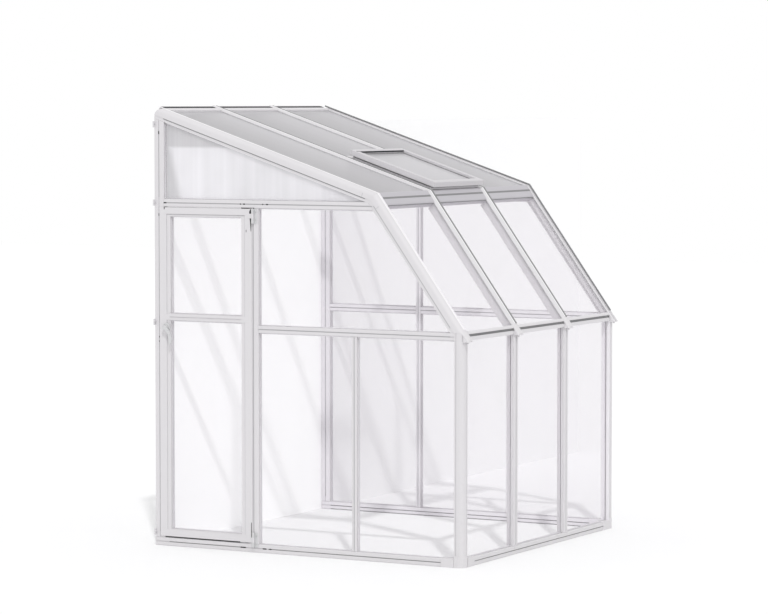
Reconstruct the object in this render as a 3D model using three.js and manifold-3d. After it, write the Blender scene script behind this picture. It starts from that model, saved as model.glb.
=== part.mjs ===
// A lean-to greenhouse: a white resin frame that stands against a house wall, with clear panes,
// twin-wall roof sheets, a hinged door in the left gable and a hinged vent in the middle of the roof.
// Millimetres, +Z up. A place is given as x along the wall, d out from the wall, and z above the ground.
import * as THREE from "three";
import { mergeVertices } from "three/addons/utils/BufferGeometryUtils.js";
import Module from "manifold-3d";

const wasm = await Module();
wasm.setup();

// Whole greenhouse
const WIDTH = 1920; // outside of one gable to outside of the other
const DEPTH = 1960; // wall to the face of the front posts
const RIDGE_H = 2482; // roof line at the wall
const BEND_DEPTH = 1419; // wall to the bend between roof and slope
const BEND_H = 2011; // height of that bend
const EAVE_H = 1267; // where the slope line meets the front face
const BAYS = 3; // panes across the front

// Fits
const SEAM = 0.3; // gap between two pieces that touch
const SLOT_SPARE = 2; // room between the edge of a pane and the bottom of its slot
const OVERRUN = 60; // how far a cutting shape runs past what it cuts
const WELD = 0.001; // points closer than this are one point

// Glazing
const PANE_T = 4;
const SHEET_T = 10;
const BITE = 8; // how much of a pane's edge sits in the frame
const SHEET_BITE = 12; // how much of a roof sheet's edge sits in a beam

// Bars of the two gables
const GABLE_T = 42; // thickness of a gable, along x
const WALL_POST_W = 62;
const DOOR_POST_W = 62;
const STUD_W = 30;
const BASE_H = 47;
const HEADER_H = 45;
const HEADER_AT = 1918; // underside of the headers
const DOOR_OPENING = 556;
const REAR_STUD_AT = 678; // middle of the full-height stud, out from the wall
const LOW_STUD_AT = 1290; // middle of the low studs
const EDGE = 3; // bevel along the edges of a bar
const LINE_W = 5; // shadow line along the middle of a bar's face
const LINE_D = 4;

// Lugs that screw a wall post to the house wall
const LUG_OUT = 16;
const LUG_T = 6;
const LUG_H = 34;
const LUG_FOOT = 30; // centre of the lowest lug
const LUG_TOP_DROP = 102; // centre of the highest lug, below the ridge

// Bars of the front
const CORNER_W = 54;
const CORNER_R = 26; // round of the outer corner
const CORNER_LINE = 9; // shadow line, in from the edge of the corner post
const FRONT_POST_W = 45;
const FRONT_T = 48; // thickness of the front, along d

// Moulded foot at each front corner
const FOOT_SKIN = 4;
const FOOT_ARM = 78;
const FOOT_H = 64;

// Rafters
const COVER_W = 60; // flange that clamps the sheets
const COVER_T = 10;
const ROLL_W = 26; // rounded near side of the flange, up to its crown
const ROLL_H = 11;
const CROWN_H = 4; // crown above the flange face
const CROWN_W = 8;
const GROOVE_W = 9; // open groove beyond the crown
const GROOVE_D = 6;
const SHOULDER_H = 26; // round of a gable rafter's outer shoulder
const ROUND_STEPS = 6;
const WEB_W = 24;
const RAFTER_W = 44;
const RAFTER_T = 60;
const GABLE_FACE = 45; // side face of a gable rafter
const GABLE_RAFTER_T = 64;
const LIP_STEP = 3; // how far its lower lip stands back
const RIDGE_ROUND = 46; // round of a gable rafter's top end

// Beams along x
const BEAM_T = 45;
const RIDGE_RUN = 74; // ridge plate, down the roof
const BEND_UP = 56; // ledge of the bend beam, up the roof
const BEND_NOSE = 8; // its nose, up the roof
const BEND_DOWN = 78; // its face, down the slope
const BEND_LINE_AT = 33;
const BEND_ROUND = 14; // rounded lower edge
const EAVE_LIP = 12; // eave beam, up the slope
const EAVE_DROP = 41; // eave beam, below the eave line
const EAVE_SILL = 20; // lower lip of the eave beam's face
const EAVE_GROOVE_H = 14;
const EAVE_GROOVE_D = 8;

// Drip nose at the foot of each slope rafter
const NOSE_DROP = 47;
const NOSE_OUT = 30;
const PLUG_R = 6;
const PLUG_H = 9;
const PLUG_AT = 14; // out from the front face
const ROUND_SIDES = 16;

// Door
const DOOR_PLAY = 4; // gap between the leaf and its posts
const DOOR_GAP = 9; // gap over the base rail
const DOOR_HEAD_GAP = 3;
const LAP_WALL = 26; // flange of the leaf over the wall post
const LAP_POST = 24; // flange of the leaf over the door post
const FLANGE_T = 5;
const LEAF_IN = 38; // how far the leaf reaches into the opening
const STILE_W = 69;
const STILE_FACE = 45; // flat outer part of a stile, before its glazing bead
const BEAD_STEP = 4;
const BEAD_H = 14;
const TOP_RAIL_H = 51;
const MID_RAIL_H = 41;
const MID_RAIL_AT = 1298; // middle of the door's middle rail
const FOOT_RAIL_H = 43;

// Door hinges
const HINGE_R = 8;
const PIN_R = 4;
const PIN_GAP = 0.6;
const HINGE_L = 80;
const KNUCKLES = 3;
const HINGE_LOW = 30; // bottom of the lower hinge
const HINGE_PLATE_W = 27;
const HINGE_PLATE_T = 3;

// Door handle and latch
const HANDLE_AT = 82; // spindle, out from the wall
const HANDLE_H = 1241;
const ROSE_R = 24;
const ROSE_T = 8;
const ROSE_EDGE = 3;
const ROSE_SIDES = 32;
const SPINDLE_R = 5.5;
const SPINDLE_GAP = 0.6;
const HUB_R = 12;
const HUB_L = 22;
const LEVER_L = 104;
const LEVER_W = 20;
const LEVER_T = 12;
const LEVER_BOW = 16;
const LEVER_TILT_DEG = 22;
const LEVER_STEPS = 8;
const LEVER_TAPER_SHARE = 0.35; // width lost from the hub to the tip
const TONGUE_L = 60;
const TONGUE_W = 20;
const TONGUE_T = 5;
const TONGUE_GAP = 3; // between the tongue and the wall post it turns behind

// Roof vent: an outer frame that overhangs a deeper inner ring
const VENT_FROM = 932; // upper edge, down the roof from the ridge
const VENT_PAST = 6; // lower edge, past the bend
const VENT_LAP = 10; // frame over the rafter flanges
const VENT_LIFT = 19; // frame above the rafter flanges
const VENT_T = 32;
const VENT_BEVEL = 3;
const VENT_BAR = 36; // outer edge of the frame to the inner edge of the ring
const VENT_INSET = 20; // ring, in from the edge of the frame
const VENT_SHEET_BITE = 14;
const VENT_SHEET_DOWN = 18; // sheet, under the top of the frame
const VENT_HEADER_UP = 34; // vent header above the vent's upper edge
const VENT_HEADER_DOWN = 10;
const VENT_LEDGE = 22; // ledge of the header under the ring
const VENT_HINGE_R = 5;
const VENT_PIN_R = 2.5;
const VENT_ARM_T = 7;
const VENT_AXIS_UP = 9; // hinge line above the vent's upper edge
const VENT_AXIS_IN = 6; // hinge line above the underside of its frame
const VENT_KNUCKLE = 24;
const VENT_EYE = 16;
const VENT_HINGE_AT = 200; // each hinge, from the middle of the vent
const VENT_OPEN_DEG = 24; // fully open, where the stay's last hole reaches the peg

// Stay of the vent
const STAY_W = 16;
const STAY_T = 3;
const STAY_HOLE_R = 3.6;
const STAY_HOLES = 5;
const STAY_PIN_R = 3;
const STAY_PIN_L = 4.5;
const STAY_END_SHARE = 0.5; // width of the stay's blunt ends
const STAY_EYE_W = 20;
const STAY_ARM_T = 8;
const STAY_BACK = 22; // pivot, up the roof from the bend beam's ledge
const STAY_DOWN = 15; // pivot, under the roof face
const PEG_BACK = 14; // peg, up the roof from the bend beam's ledge
const PEG_DOWN = 34;
const PEG_GAP = 0.7;
const PEG_L = 2;
const PEG_ARM_T = 5;
const PEG_ARM_H = 16;
const PEG_TIP_SHARE = 0.5; // height of the arm's tip

// Sizes that follow from those above
const half = WIDTH / 2;
const bay = WIDTH / BAYS;
const reach = WIDTH + DEPTH + RIDGE_H;
const roofAngle = Math.atan2(RIDGE_H - BEND_H, BEND_DEPTH);
const slopeAngle = Math.atan2(BEND_H - EAVE_H, DEPTH - BEND_DEPTH);
const roofRun = Math.hypot(BEND_DEPTH, RIDGE_H - BEND_H);
const slopeRun = Math.hypot(DEPTH - BEND_DEPTH, BEND_H - EAVE_H);
const paneGap = PANE_T + 2 * SEAM;
const sheetGap = SHEET_T + 2 * SEAM;
const railUnder = EAVE_H - EAVE_DROP;
const headerTop = HEADER_AT + HEADER_H;
const doorPostNear = WALL_POST_W + DOOR_OPENING;
const doorPostFar = doorPostNear + DOOR_POST_W;
const frontGlazing = DEPTH - FRONT_T / 2;
const rafterMiddle = half - COVER_W / 2; // x of a gable rafter's middle
const bodyEnd = rafterMiddle - RAFTER_W / 2; // x where the long beams end
const innerRafters = Array.from({ length: BAYS - 1 }, (_, i) => bay * (i + 1) - half);
const rafterLines = [-rafterMiddle, ...innerRafters, rafterMiddle];
const X = new THREE.Vector3(1, 0, 0);
const Y = new THREE.Vector3(0, 1, 0);
const Z = new THREE.Vector3(0, 0, 1);

// Side view: points are [d, z]
const onRoof = (s, b) => [
  s * Math.cos(roofAngle) - b * Math.sin(roofAngle),
  RIDGE_H - s * Math.sin(roofAngle) - b * Math.cos(roofAngle),
];
const onSlope = (s, b) => [
  BEND_DEPTH + s * Math.cos(slopeAngle) - b * Math.sin(slopeAngle),
  BEND_H - s * Math.sin(slopeAngle) - b * Math.cos(slopeAngle),
];

// Top of the eave beam and of the mid rails
const shoulder = onSlope(slopeRun - EAVE_LIP, COVER_T + paneGap)[1];

// Side view: a line is [a, b, c] with a * d + b * z = c
const upright = (d) => [1, 0, d];
const level = (z) => [0, 1, z];
const roofLine = (b) => [Math.sin(roofAngle), Math.cos(roofAngle), RIDGE_H * Math.cos(roofAngle) - b];
const slopeLine = (b) => [
  Math.sin(slopeAngle),
  Math.cos(slopeAngle),
  BEND_DEPTH * Math.sin(slopeAngle) + BEND_H * Math.cos(slopeAngle) - b,
];
function meet([a, b, c], [e, f, g]) {
  const det = a * f - b * e;
  return [(c * f - b * g) / det, (a * g - c * e) / det];
}
// The corners of a shape whose sides follow these lines in turn.
const corners = (lines) => lines.map((line, i) => meet(line, lines[(i + 1) % lines.length]));

// Solids
const place = (x, d, z) => new THREE.Vector3(x, -d, z);
const shapeOf = (points) => new THREE.Shape(points.map(([a, b]) => new THREE.Vector2(a, b)));

function extrude(points, length, across, up, along, from) {
  const geometry = new THREE.ExtrudeGeometry(shapeOf(points), { depth: length, bevelEnabled: false });
  const basis = new THREE.Matrix4().makeBasis(across, up, along).setPosition(from);
  return geometry.applyMatrix4(basis);
}
// A side view shape, [d, z], carried along x.
const alongX = (points, x0, x1) =>
  extrude(points.map(([d, z]) => [-d, z]), x1 - x0, Y, Z, X, new THREE.Vector3(x0, 0, 0));
// A plan shape, [x, d], carried up.
const alongZ = (points, z0, z1) =>
  extrude(points.map(([x, d]) => [x, -d]), z1 - z0, X, Y, Z, new THREE.Vector3(0, 0, z0));

// A bar whose outline is [across, in from its face], from one end to the other.
function bar(points, start, end, inward) {
  const from = place(...start);
  const along = place(...end).sub(from);
  const length = along.length();
  along.normalize();
  return extrude(points, length, inward.clone().cross(along), inward, along, from);
}

function block([x0, x1], [d0, d1], [z0, z1]) {
  const low = place(Math.min(x0, x1), Math.max(d0, d1), Math.min(z0, z1));
  const high = place(Math.max(x0, x1), Math.min(d0, d1), Math.max(z0, z1));
  const size = high.clone().sub(low);
  const geometry = new THREE.BoxGeometry(size.x, size.y, size.z);
  return geometry.translate(low.x + size.x / 2, low.y + size.y / 2, low.z + size.z / 2);
}

// A round bar along x or z.
function rod(radius, axis, [from, to], at) {
  const geometry = new THREE.CylinderGeometry(radius, radius, to - from, ROUND_SIDES);
  geometry.applyQuaternion(new THREE.Quaternion().setFromUnitVectors(Y, axis));
  const middle = axis.clone().multiplyScalar((from + to) / 2);
  return geometry.translate(at.x + middle.x, at.y + middle.y, at.z + middle.z);
}

// Joining and cutting
function solid(geometry) {
  if (geometry instanceof wasm.Manifold) return geometry;
  const bare = geometry.clone();
  bare.deleteAttribute("normal");
  bare.deleteAttribute("uv");
  const merged = mergeVertices(bare, WELD);
  const vertProperties = new Float32Array(merged.attributes.position.array);
  const triVerts = new Uint32Array(merged.index.array);
  return new wasm.Manifold(new wasm.Mesh({ numProp: 3, vertProperties, triVerts }));
}
const join = (...pieces) => pieces.map(solid).reduce((whole, piece) => whole.add(piece));
const cut = (piece, ...cutters) =>
  cutters.map(solid).reduce((left, cutter) => left.subtract(cutter), solid(piece));

function geometryOf(piece) {
  if (piece instanceof THREE.BufferGeometry) return piece;
  const mesh = piece.getMesh();
  const geometry = new THREE.BufferGeometry();
  geometry.setAttribute("position", new THREE.BufferAttribute(new Float32Array(mesh.vertProperties), 3));
  geometry.setIndex(new THREE.BufferAttribute(new Uint32Array(mesh.triVerts), 1));
  geometry.computeVertexNormals();
  return geometry;
}

// Everything beyond a side view line through a point, on the side its normal points to.
function beyond([d, z], [nd, nz]) {
  const t = [-nz * reach, nd * reach];
  const n = [nd * reach, nz * reach];
  const near = [[d + t[0], z + t[1]], [d - t[0], z - t[1]]];
  const far = [[d - t[0] + n[0], z - t[1] + n[1]], [d + t[0] + n[0], z + t[1] + n[1]]];
  return alongX([...near, ...far], -WIDTH, WIDTH);
}

// Materials
const resin = new THREE.MeshStandardMaterial({ color: 0xf1f1f3, roughness: 0.45 });
const seeThrough = (color, roughness, opacity) =>
  new THREE.MeshStandardMaterial({ color, roughness, transparent: true, opacity });
const clear = seeThrough(0xf3f4f8, 0.08, 0.2);
const twinWall = seeThrough(0xdfe1e6, 0.35, 0.6);
const fitting = new THREE.MeshStandardMaterial({ color: 0xe4e4e7, roughness: 0.4 });
const metal = new THREE.MeshStandardMaterial({ color: 0xb9bbc0, roughness: 0.35, metalness: 0.9 });

const greenhouse = new THREE.Group();
function add(name, piece, material, parent = greenhouse) {
  const mesh = new THREE.Mesh(geometryOf(piece), material);
  mesh.name = name;
  parent.add(mesh);
  return mesh;
}

// Outlines
// A plain bar, w across and t deep, with a shadow line along its face and its back.
function barOutline(w, t) {
  const h = w / 2;
  const line = LINE_W / 2;
  return [
    [EDGE - h, 0], [-line, 0], [-line, LINE_D], [line, LINE_D], [line, 0], [h - EDGE, 0], [h, EDGE],
    [h, t - EDGE], [h - EDGE, t], [line, t], [line, t - LINE_D], [-line, t - LINE_D], [-line, t],
    [EDGE - h, t], [-h, t - EDGE], [-h, EDGE],
  ];
}

// A quarter round about a middle, from its left end up to its top.
const rounded = ([a, b], across, up) =>
  Array.from({ length: ROUND_STEPS + 1 }, (_, i) => {
    const turn = (Math.PI / 2) * (i / ROUND_STEPS);
    return [a - across * Math.cos(turn), b - up * Math.sin(turn)];
  });
// The flange from the end of its crown to its right edge: groove and flat strip.
function coverRight(crownEnd) {
  const h = COVER_W / 2;
  return [
    [crownEnd, -CROWN_H], [crownEnd + CROWN_H / 2, GROOVE_D], [crownEnd + GROOVE_W, GROOVE_D],
    [crownEnd + GROOVE_W, 0], [h - EDGE, 0], [h, EDGE], [h, COVER_T],
  ];
}
// The clamping flange, from left to right along the outside.
function coverTop() {
  const h = COVER_W / 2;
  const crown = ROLL_W - h;
  return [...rounded([crown, ROLL_H - CROWN_H], ROLL_W, ROLL_H), ...coverRight(crown + CROWN_W)];
}

// A rafter between two bays: flange, web and body, with the sheets in the slots between them.
function rafterOutline(gap) {
  const under = COVER_T + gap;
  const right = [
    [WEB_W / 2, COVER_T], [WEB_W / 2, under], [RAFTER_W / 2, under],
    [RAFTER_W / 2, RAFTER_T - EDGE], [RAFTER_W / 2 - EDGE, RAFTER_T],
  ];
  const left = right.map(([a, b]) => [-a, b]).reverse();
  return [...coverTop(), ...right, ...left, [-COVER_W / 2, COVER_T]];
}

// A rafter over the left gable: a rounded shoulder, a flat outer face and a lip below it.
// Side turns it round for the right gable.
function gableRafterOutline(gap, side) {
  const h = COVER_W / 2;
  const under = COVER_T + gap;
  const lipInner = GABLE_T - h;
  const points = [
    ...rounded([0, SHOULDER_H - CROWN_H], h, SHOULDER_H),
    ...coverRight(CROWN_W / 2),
    [WEB_W / 2, COVER_T], [WEB_W / 2, under], [RAFTER_W / 2, under],
    [RAFTER_W / 2, GABLE_FACE], [lipInner, GABLE_FACE + EDGE], [lipInner, GABLE_RAFTER_T],
    [LIP_STEP - h, GABLE_RAFTER_T], [LIP_STEP - h, GABLE_FACE], [-h, GABLE_FACE],
  ];
  return points.map(([a, b]) => [-side * a, b]);
}

// Panes of one gable, as side view shapes.
// Grown by the bite they are panes; grown by the slot they are cutters.
const gablePanes = (side) => {
  const firstPost = side < 0 ? doorPostFar : REAR_STUD_AT + STUD_W / 2;
  const rearPost = side < 0 ? null : REAR_STUD_AT - STUD_W / 2;
  const studNear = LOW_STUD_AT - STUD_W / 2;
  const studFar = LOW_STUD_AT + STUD_W / 2;
  const cornerNear = DEPTH - CORNER_W;
  const box = (d0, d1, z0, z1) => (g) =>
    corners([upright(d0 - g), level(z0 - g), upright(d1 + g), level(z1 + g)]);
  const tip = meet(roofLine(GABLE_RAFTER_T), level(headerTop))[0];
  const panes = [
    { name: "low_pane_middle", t: PANE_T, shape: box(firstPost, studNear, BASE_H, railUnder) },
    { name: "low_pane_front", t: PANE_T, shape: box(studFar, cornerNear, BASE_H, railUnder) },
    {
      name: "tall_pane_front",
      t: PANE_T,
      shape: (g) =>
        corners([
          upright(firstPost - g),
          level(shoulder - g),
          slopeLine(GABLE_RAFTER_T - g),
          level(HEADER_AT + g),
        ]),
    },
    {
      name: "gable_sheet",
      t: SHEET_T,
      shape: (g) =>
        corners([
          upright(WALL_POST_W - g),
          level(headerTop - g),
          upright(tip + g - BITE),
          roofLine(GABLE_RAFTER_T - g),
        ]),
    },
  ];
  if (rearPost !== null) {
    panes.push({ name: "low_pane_rear", t: PANE_T, shape: box(WALL_POST_W, rearPost, BASE_H, railUnder) });
    panes.push({ name: "tall_pane_rear", t: PANE_T, shape: box(WALL_POST_W, rearPost, shoulder, HEADER_AT) });
  }
  return panes;
};
const gableMiddle = half - GABLE_T / 2;
function gableSlab(pane, side, growth, thickness) {
  const middle = side * gableMiddle;
  return alongX(pane.shape(growth), middle - thickness / 2, middle + thickness / 2);
}
const gableCutters = (side) =>
  gablePanes(side).map((pane) => gableSlab(pane, side, BITE + SLOT_SPARE, pane.t + 2 * SEAM));

// Front panes: plan and height of each bay.
const frontEdges = [
  [CORNER_W - half, innerRafters[0] - FRONT_POST_W / 2],
  ...innerRafters.slice(1).map((x, i) => [innerRafters[i] + FRONT_POST_W / 2, x - FRONT_POST_W / 2]),
  [innerRafters[BAYS - 2] + FRONT_POST_W / 2, half - CORNER_W],
];
function frontSlab([x0, x1], growth, thickness) {
  const across = [x0 - growth, x1 + growth];
  const deep = [frontGlazing - thickness / 2, frontGlazing + thickness / 2];
  return block(across, deep, [BASE_H - growth, railUnder + growth]);
}
const frontCutters = frontEdges.map((edges) => frontSlab(edges, BITE + SLOT_SPARE, paneGap));

// The band that a rafter's flange takes up, with room round it, for cutting what it crosses.
function coverBand(x, point, run) {
  const ends = [-OVERRUN, run + OVERRUN];
  const under = COVER_T + SEAM;
  const band = [
    point(ends[0], under), point(ends[1], under), point(ends[1], -OVERRUN), point(ends[0], -OVERRUN),
  ];
  return alongX(band, x - COVER_W / 2 - SEAM, x + COVER_W / 2 + SEAM);
}
const roofCovers = rafterLines.map((x) => coverBand(x, onRoof, roofRun));
const slopeCovers = rafterLines.map((x) => coverBand(x, onSlope, slopeRun));

// The mitre where a roof rafter meets a slope rafter.
const mitreTurn = (roofAngle + slopeAngle) / 2;
const mitre = [Math.cos(mitreTurn), -Math.sin(mitreTurn)];
const bend = [BEND_DEPTH, BEND_H];
const mitreFrom = (side) => [bend[0] + (side * mitre[0] * SEAM) / 2, bend[1] + (side * mitre[1] * SEAM) / 2];
const belowMitre = beyond(mitreFrom(-1), mitre);
const aboveMitre = beyond(mitreFrom(1), mitre.map((m) => -m));

// Base rails, on the ground
function baseRails() {
  const middle = BASE_H / 2;
  const corner = DEPTH - CORNER_W - SEAM;
  for (const side of [-1, 1]) {
    const inward = X.clone().multiplyScalar(-side);
    const outline = barOutline(BASE_H, GABLE_T);
    const rail = bar(outline, [side * half, 0, middle], [side * half, corner, middle], inward);
    add(side < 0 ? "base_rail_left" : "base_rail_right", cut(rail, ...gableCutters(side)), resin);
  }
  const end = half - CORNER_W - SEAM;
  const front = bar(barOutline(BASE_H, FRONT_T), [-end, DEPTH, middle], [end, DEPTH, middle], Y);
  add("base_rail_front", cut(front, ...frontCutters), resin);
}

// Wall posts, with the lugs that screw them to the house wall
function wallPosts() {
  const top = beyond(onRoof(0, GABLE_RAFTER_T + SEAM), [Math.sin(roofAngle), Math.cos(roofAngle)]);
  const lugHeights = [BASE_H + LUG_FOOT, EAVE_H, headerTop - HEADER_H / 2, RIDGE_H - LUG_TOP_DROP];
  for (const side of [-1, 1]) {
    const inward = X.clone().multiplyScalar(-side);
    const at = [side * half, WALL_POST_W / 2];
    const post = bar(barOutline(WALL_POST_W, GABLE_T), [...at, BASE_H + SEAM], [...at, RIDGE_H], inward);
    const lugs = lugHeights.map((z) =>
      block([side * (half - EDGE), side * (half + LUG_OUT)], [0, LUG_T], [z - LUG_H / 2, z + LUG_H / 2]),
    );
    const whole = cut(join(post, ...lugs), top, ...gableCutters(side));
    add(side < 0 ? "wall_post_left" : "wall_post_right", whole, resin);
  }
}

// Corner posts, each with a rounded outer corner and the moulded foot that sleeves both base rails
function cornerPlan(side) {
  const round = Array.from({ length: ROUND_STEPS + 1 }, (_, i) => {
    const turn = (Math.PI / 2) * (i / ROUND_STEPS);
    const x = half - CORNER_R + CORNER_R * Math.cos(turn);
    return [x, DEPTH - CORNER_R + CORNER_R * Math.sin(turn)];
  });
  const inner = half - CORNER_W;
  const near = DEPTH - CORNER_W;
  const gableLine = near + CORNER_LINE;
  const frontLine = inner + CORNER_LINE;
  const points = [
    [half, near], [half, gableLine], [half - LINE_D, gableLine], [half - LINE_D, gableLine + LINE_W / 2],
    [half, gableLine + LINE_W / 2], ...round,
    [frontLine + LINE_W / 2, DEPTH], [frontLine + LINE_W / 2, DEPTH - LINE_D], [frontLine, DEPTH - LINE_D],
    [frontLine, DEPTH], [inner, DEPTH], [inner, near],
  ];
  return points.map(([x, d]) => [side * x, d]);
}
function cornerFoot(side) {
  const outX = half + FOOT_SKIN;
  const outD = DEPTH + FOOT_SKIN;
  const inX = half - GABLE_T - FOOT_SKIN;
  const inD = DEPTH - FRONT_T - FOOT_SKIN;
  const top = BASE_H + SEAM + FOOT_SKIN;
  const nearX = half - CORNER_W;
  const nearD = DEPTH - CORNER_W;
  const along = block([side * inX, side * outX], [nearD - FOOT_ARM, nearD], [0, top]);
  const across = block([side * (nearX - FOOT_ARM), side * nearX], [inD, outD], [0, top]);
  const boot = [
    [inX, inD], [inX, outD], [half - CORNER_R, outD], [outX, DEPTH - CORNER_R], [outX, inD],
  ].map(([x, d]) => [side * x, d]);
  return join(along, across, alongZ(boot, 0, FOOT_H));
}
// The slot for the feet of the sloped panes, between the webs of the gable rafters
function slopePaneSlot() {
  const end = slopeRun - EAVE_LIP + BITE + SLOT_SPARE;
  const under = COVER_T + paneGap;
  const outline = [onSlope(0, COVER_T), onSlope(end, COVER_T), onSlope(end, under), onSlope(0, under)];
  const side = rafterMiddle - WEB_W / 2;
  return alongX(outline, -side, side);
}
function cornerPosts() {
  for (const side of [-1, 1]) {
    const post = alongZ(cornerPlan(side), 0, shoulder);
    const railEnd = DEPTH - CORNER_W;
    const rails = [-OVERRUN, BASE_H + SEAM];
    const gableBand = [side * (half - GABLE_T - SEAM), side * (half + SEAM)];
    const frontBand = [DEPTH - FRONT_T - SEAM, DEPTH + SEAM];
    const gableRail = block(gableBand, [0, railEnd], rails);
    const frontRail = block([0, side * (half - CORNER_W)], frontBand, rails);
    const slots = [slopePaneSlot(), ...gableCutters(side), ...frontCutters];
    const whole = cut(join(post, cornerFoot(side)), gableRail, frontRail, ...slopeCovers, ...slots);
    add(side < 0 ? "corner_post_left" : "corner_post_right", whole, resin);
  }
}

// Front posts, between the front panes
function frontPosts() {
  innerRafters.forEach((x, i) => {
    const outline = barOutline(FRONT_POST_W, FRONT_T);
    const post = bar(outline, [x, DEPTH, BASE_H + SEAM], [x, DEPTH, railUnder - SEAM], Y);
    add("front_post_" + (i + 1), cut(post, ...frontCutters), resin);
  });
}

// Posts and rails inside the gables
function upPost(side, middle, width, z1) {
  const inward = X.clone().multiplyScalar(-side);
  const at = [side * half, middle];
  const post = bar(barOutline(width, GABLE_T), [...at, BASE_H + SEAM], [...at, z1], inward);
  return cut(post, ...gableCutters(side));
}
function gableRail(side, d0, d1, z0, z1) {
  const inward = X.clone().multiplyScalar(-side);
  const middle = (z0 + z1) / 2;
  return bar(barOutline(z1 - z0, GABLE_T), [side * half, d0, middle], [side * half, d1, middle], inward);
}
function gableBars() {
  const underHeader = HEADER_AT - SEAM;
  const underRail = railUnder - SEAM;
  const cornerNear = DEPTH - CORNER_W - SEAM;
  add("door_post", upPost(-1, (doorPostNear + doorPostFar) / 2, DOOR_POST_W, underHeader), resin);
  add("gable_stud_left", upPost(-1, LOW_STUD_AT, STUD_W, underRail), resin);
  add("gable_stud_right_rear", upPost(1, REAR_STUD_AT, STUD_W, underHeader), resin);
  add("gable_stud_right_front", upPost(1, LOW_STUD_AT, STUD_W, underRail), resin);

  const mid = (side, d0, d1) => cut(gableRail(side, d0, d1, railUnder, shoulder), ...gableCutters(side));
  add("mid_rail_left", mid(-1, doorPostFar + SEAM, cornerNear), resin);
  add("mid_rail_right_rear", mid(1, WALL_POST_W + SEAM, REAR_STUD_AT - STUD_W / 2 - SEAM), resin);
  add("mid_rail_right_front", mid(1, REAR_STUD_AT + STUD_W / 2 + SEAM, cornerNear), resin);

  const underRoof = beyond(onRoof(0, GABLE_RAFTER_T + SEAM), [Math.sin(roofAngle), Math.cos(roofAngle)]);
  const underSlope = beyond(onSlope(0, GABLE_RAFTER_T + SEAM), [Math.sin(slopeAngle), Math.cos(slopeAngle)]);
  for (const side of [-1, 1]) {
    const header = gableRail(side, WALL_POST_W + SEAM, BEND_DEPTH, HEADER_AT, headerTop);
    const whole = cut(header, underRoof, underSlope, ...gableCutters(side));
    add(side < 0 ? "header_left" : "header_right", whole, resin);
  }
}

// Ridge plate, on the house wall under the rafters' upper ends
function ridgePlate() {
  const front = onRoof(RIDGE_RUN, BEAM_T);
  const slotTop = COVER_T + sheetGap;
  const slotEnd = RIDGE_RUN - SHEET_BITE - SLOT_SPARE;
  const outline = [
    [0, RIDGE_H], onRoof(RIDGE_RUN, 0), onRoof(RIDGE_RUN, COVER_T), onRoof(slotEnd, COVER_T),
    onRoof(slotEnd, slotTop), onRoof(RIDGE_RUN, slotTop), front, [0, front[1]],
  ];
  const end = bodyEnd - SEAM;
  add("ridge_plate", cut(alongX(outline, -end, end), ...roofCovers), resin);
}

// Hinge line of the vent, pivot of its stay and peg of the stay, as places on the roof
const ventAxis = [VENT_FROM - VENT_AXIS_UP, -VENT_LIFT - VENT_AXIS_IN];
const stayAt = [roofRun - BEND_UP - STAY_BACK, STAY_DOWN];
const pegAt = [roofRun - BEND_UP - PEG_BACK, PEG_DOWN];
const pegX = STAY_ARM_T / 2 + SEAM + STAY_T + PEG_GAP;
// How far the stay's pivot is from the peg when the vent is fully open
function stayReach() {
  const turn = THREE.MathUtils.degToRad(VENT_OPEN_DEG);
  const [s, b] = [stayAt[0] - ventAxis[0], stayAt[1] - ventAxis[1]];
  const open = [
    ventAxis[0] + s * Math.cos(turn) + b * Math.sin(turn),
    ventAxis[1] - s * Math.sin(turn) + b * Math.cos(turn),
  ];
  return Math.hypot(pegAt[0] - open[0], pegAt[1] - open[1]);
}

// Bend beam, where the roof sheets end and the sloped panes begin
function stayPeg() {
  const foot = roofRun - BEND_UP + EDGE;
  const footH = PEG_ARM_H / 2;
  const tipH = footH * PEG_TIP_SHARE;
  const tip = pegAt[0] - tipH;
  const outline = [
    onRoof(foot, PEG_DOWN - footH), onRoof(foot, PEG_DOWN + footH), onRoof(tip, PEG_DOWN + tipH),
    onRoof(tip, PEG_DOWN - tipH),
  ];
  const arm = alongX(outline, pegX + PEG_L, pegX + PEG_L + PEG_ARM_T);
  const [d, z] = onRoof(...pegAt);
  return join(arm, rod(STAY_PIN_R, X, [pegX, pegX + PEG_L + EDGE], place(0, d, z)));
}
function bendBeam() {
  const up = roofRun - BEND_UP;
  const nose = roofRun - BEND_NOSE;
  const ledge = COVER_T + sheetGap;
  const paneTop = COVER_T + paneGap;
  const paneEnd = BEND_DOWN - BITE - SLOT_SPARE;
  const line = [BEND_LINE_AT - LINE_W / 2, BEND_LINE_AT + LINE_W / 2];
  const round = rounded([0, 0], BEND_ROUND, COVER_T - EDGE)
    .map(([a, b]) => onSlope(BEND_DOWN - BEND_ROUND - a, COVER_T - EDGE + b))
    .reverse();
  const outline = [
    onRoof(nose, 0), bend, onSlope(line[0], 0), onSlope(line[0], LINE_D), onSlope(line[1], LINE_D),
    onSlope(line[1], 0), ...round, onSlope(BEND_DOWN, COVER_T), onSlope(paneEnd, COVER_T),
    onSlope(paneEnd, paneTop), onSlope(BEND_DOWN, paneTop), onSlope(BEND_DOWN, BEAM_T),
    meet(roofLine(BEAM_T), slopeLine(BEAM_T)), onRoof(up, BEAM_T), onRoof(up, ledge), onRoof(nose, ledge),
  ];
  const end = bodyEnd - SEAM;
  const beam = cut(alongX(outline, -end, end), ...roofCovers, ...slopeCovers);
  add("bend_beam", join(beam, stayPeg()), resin);
}

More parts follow.
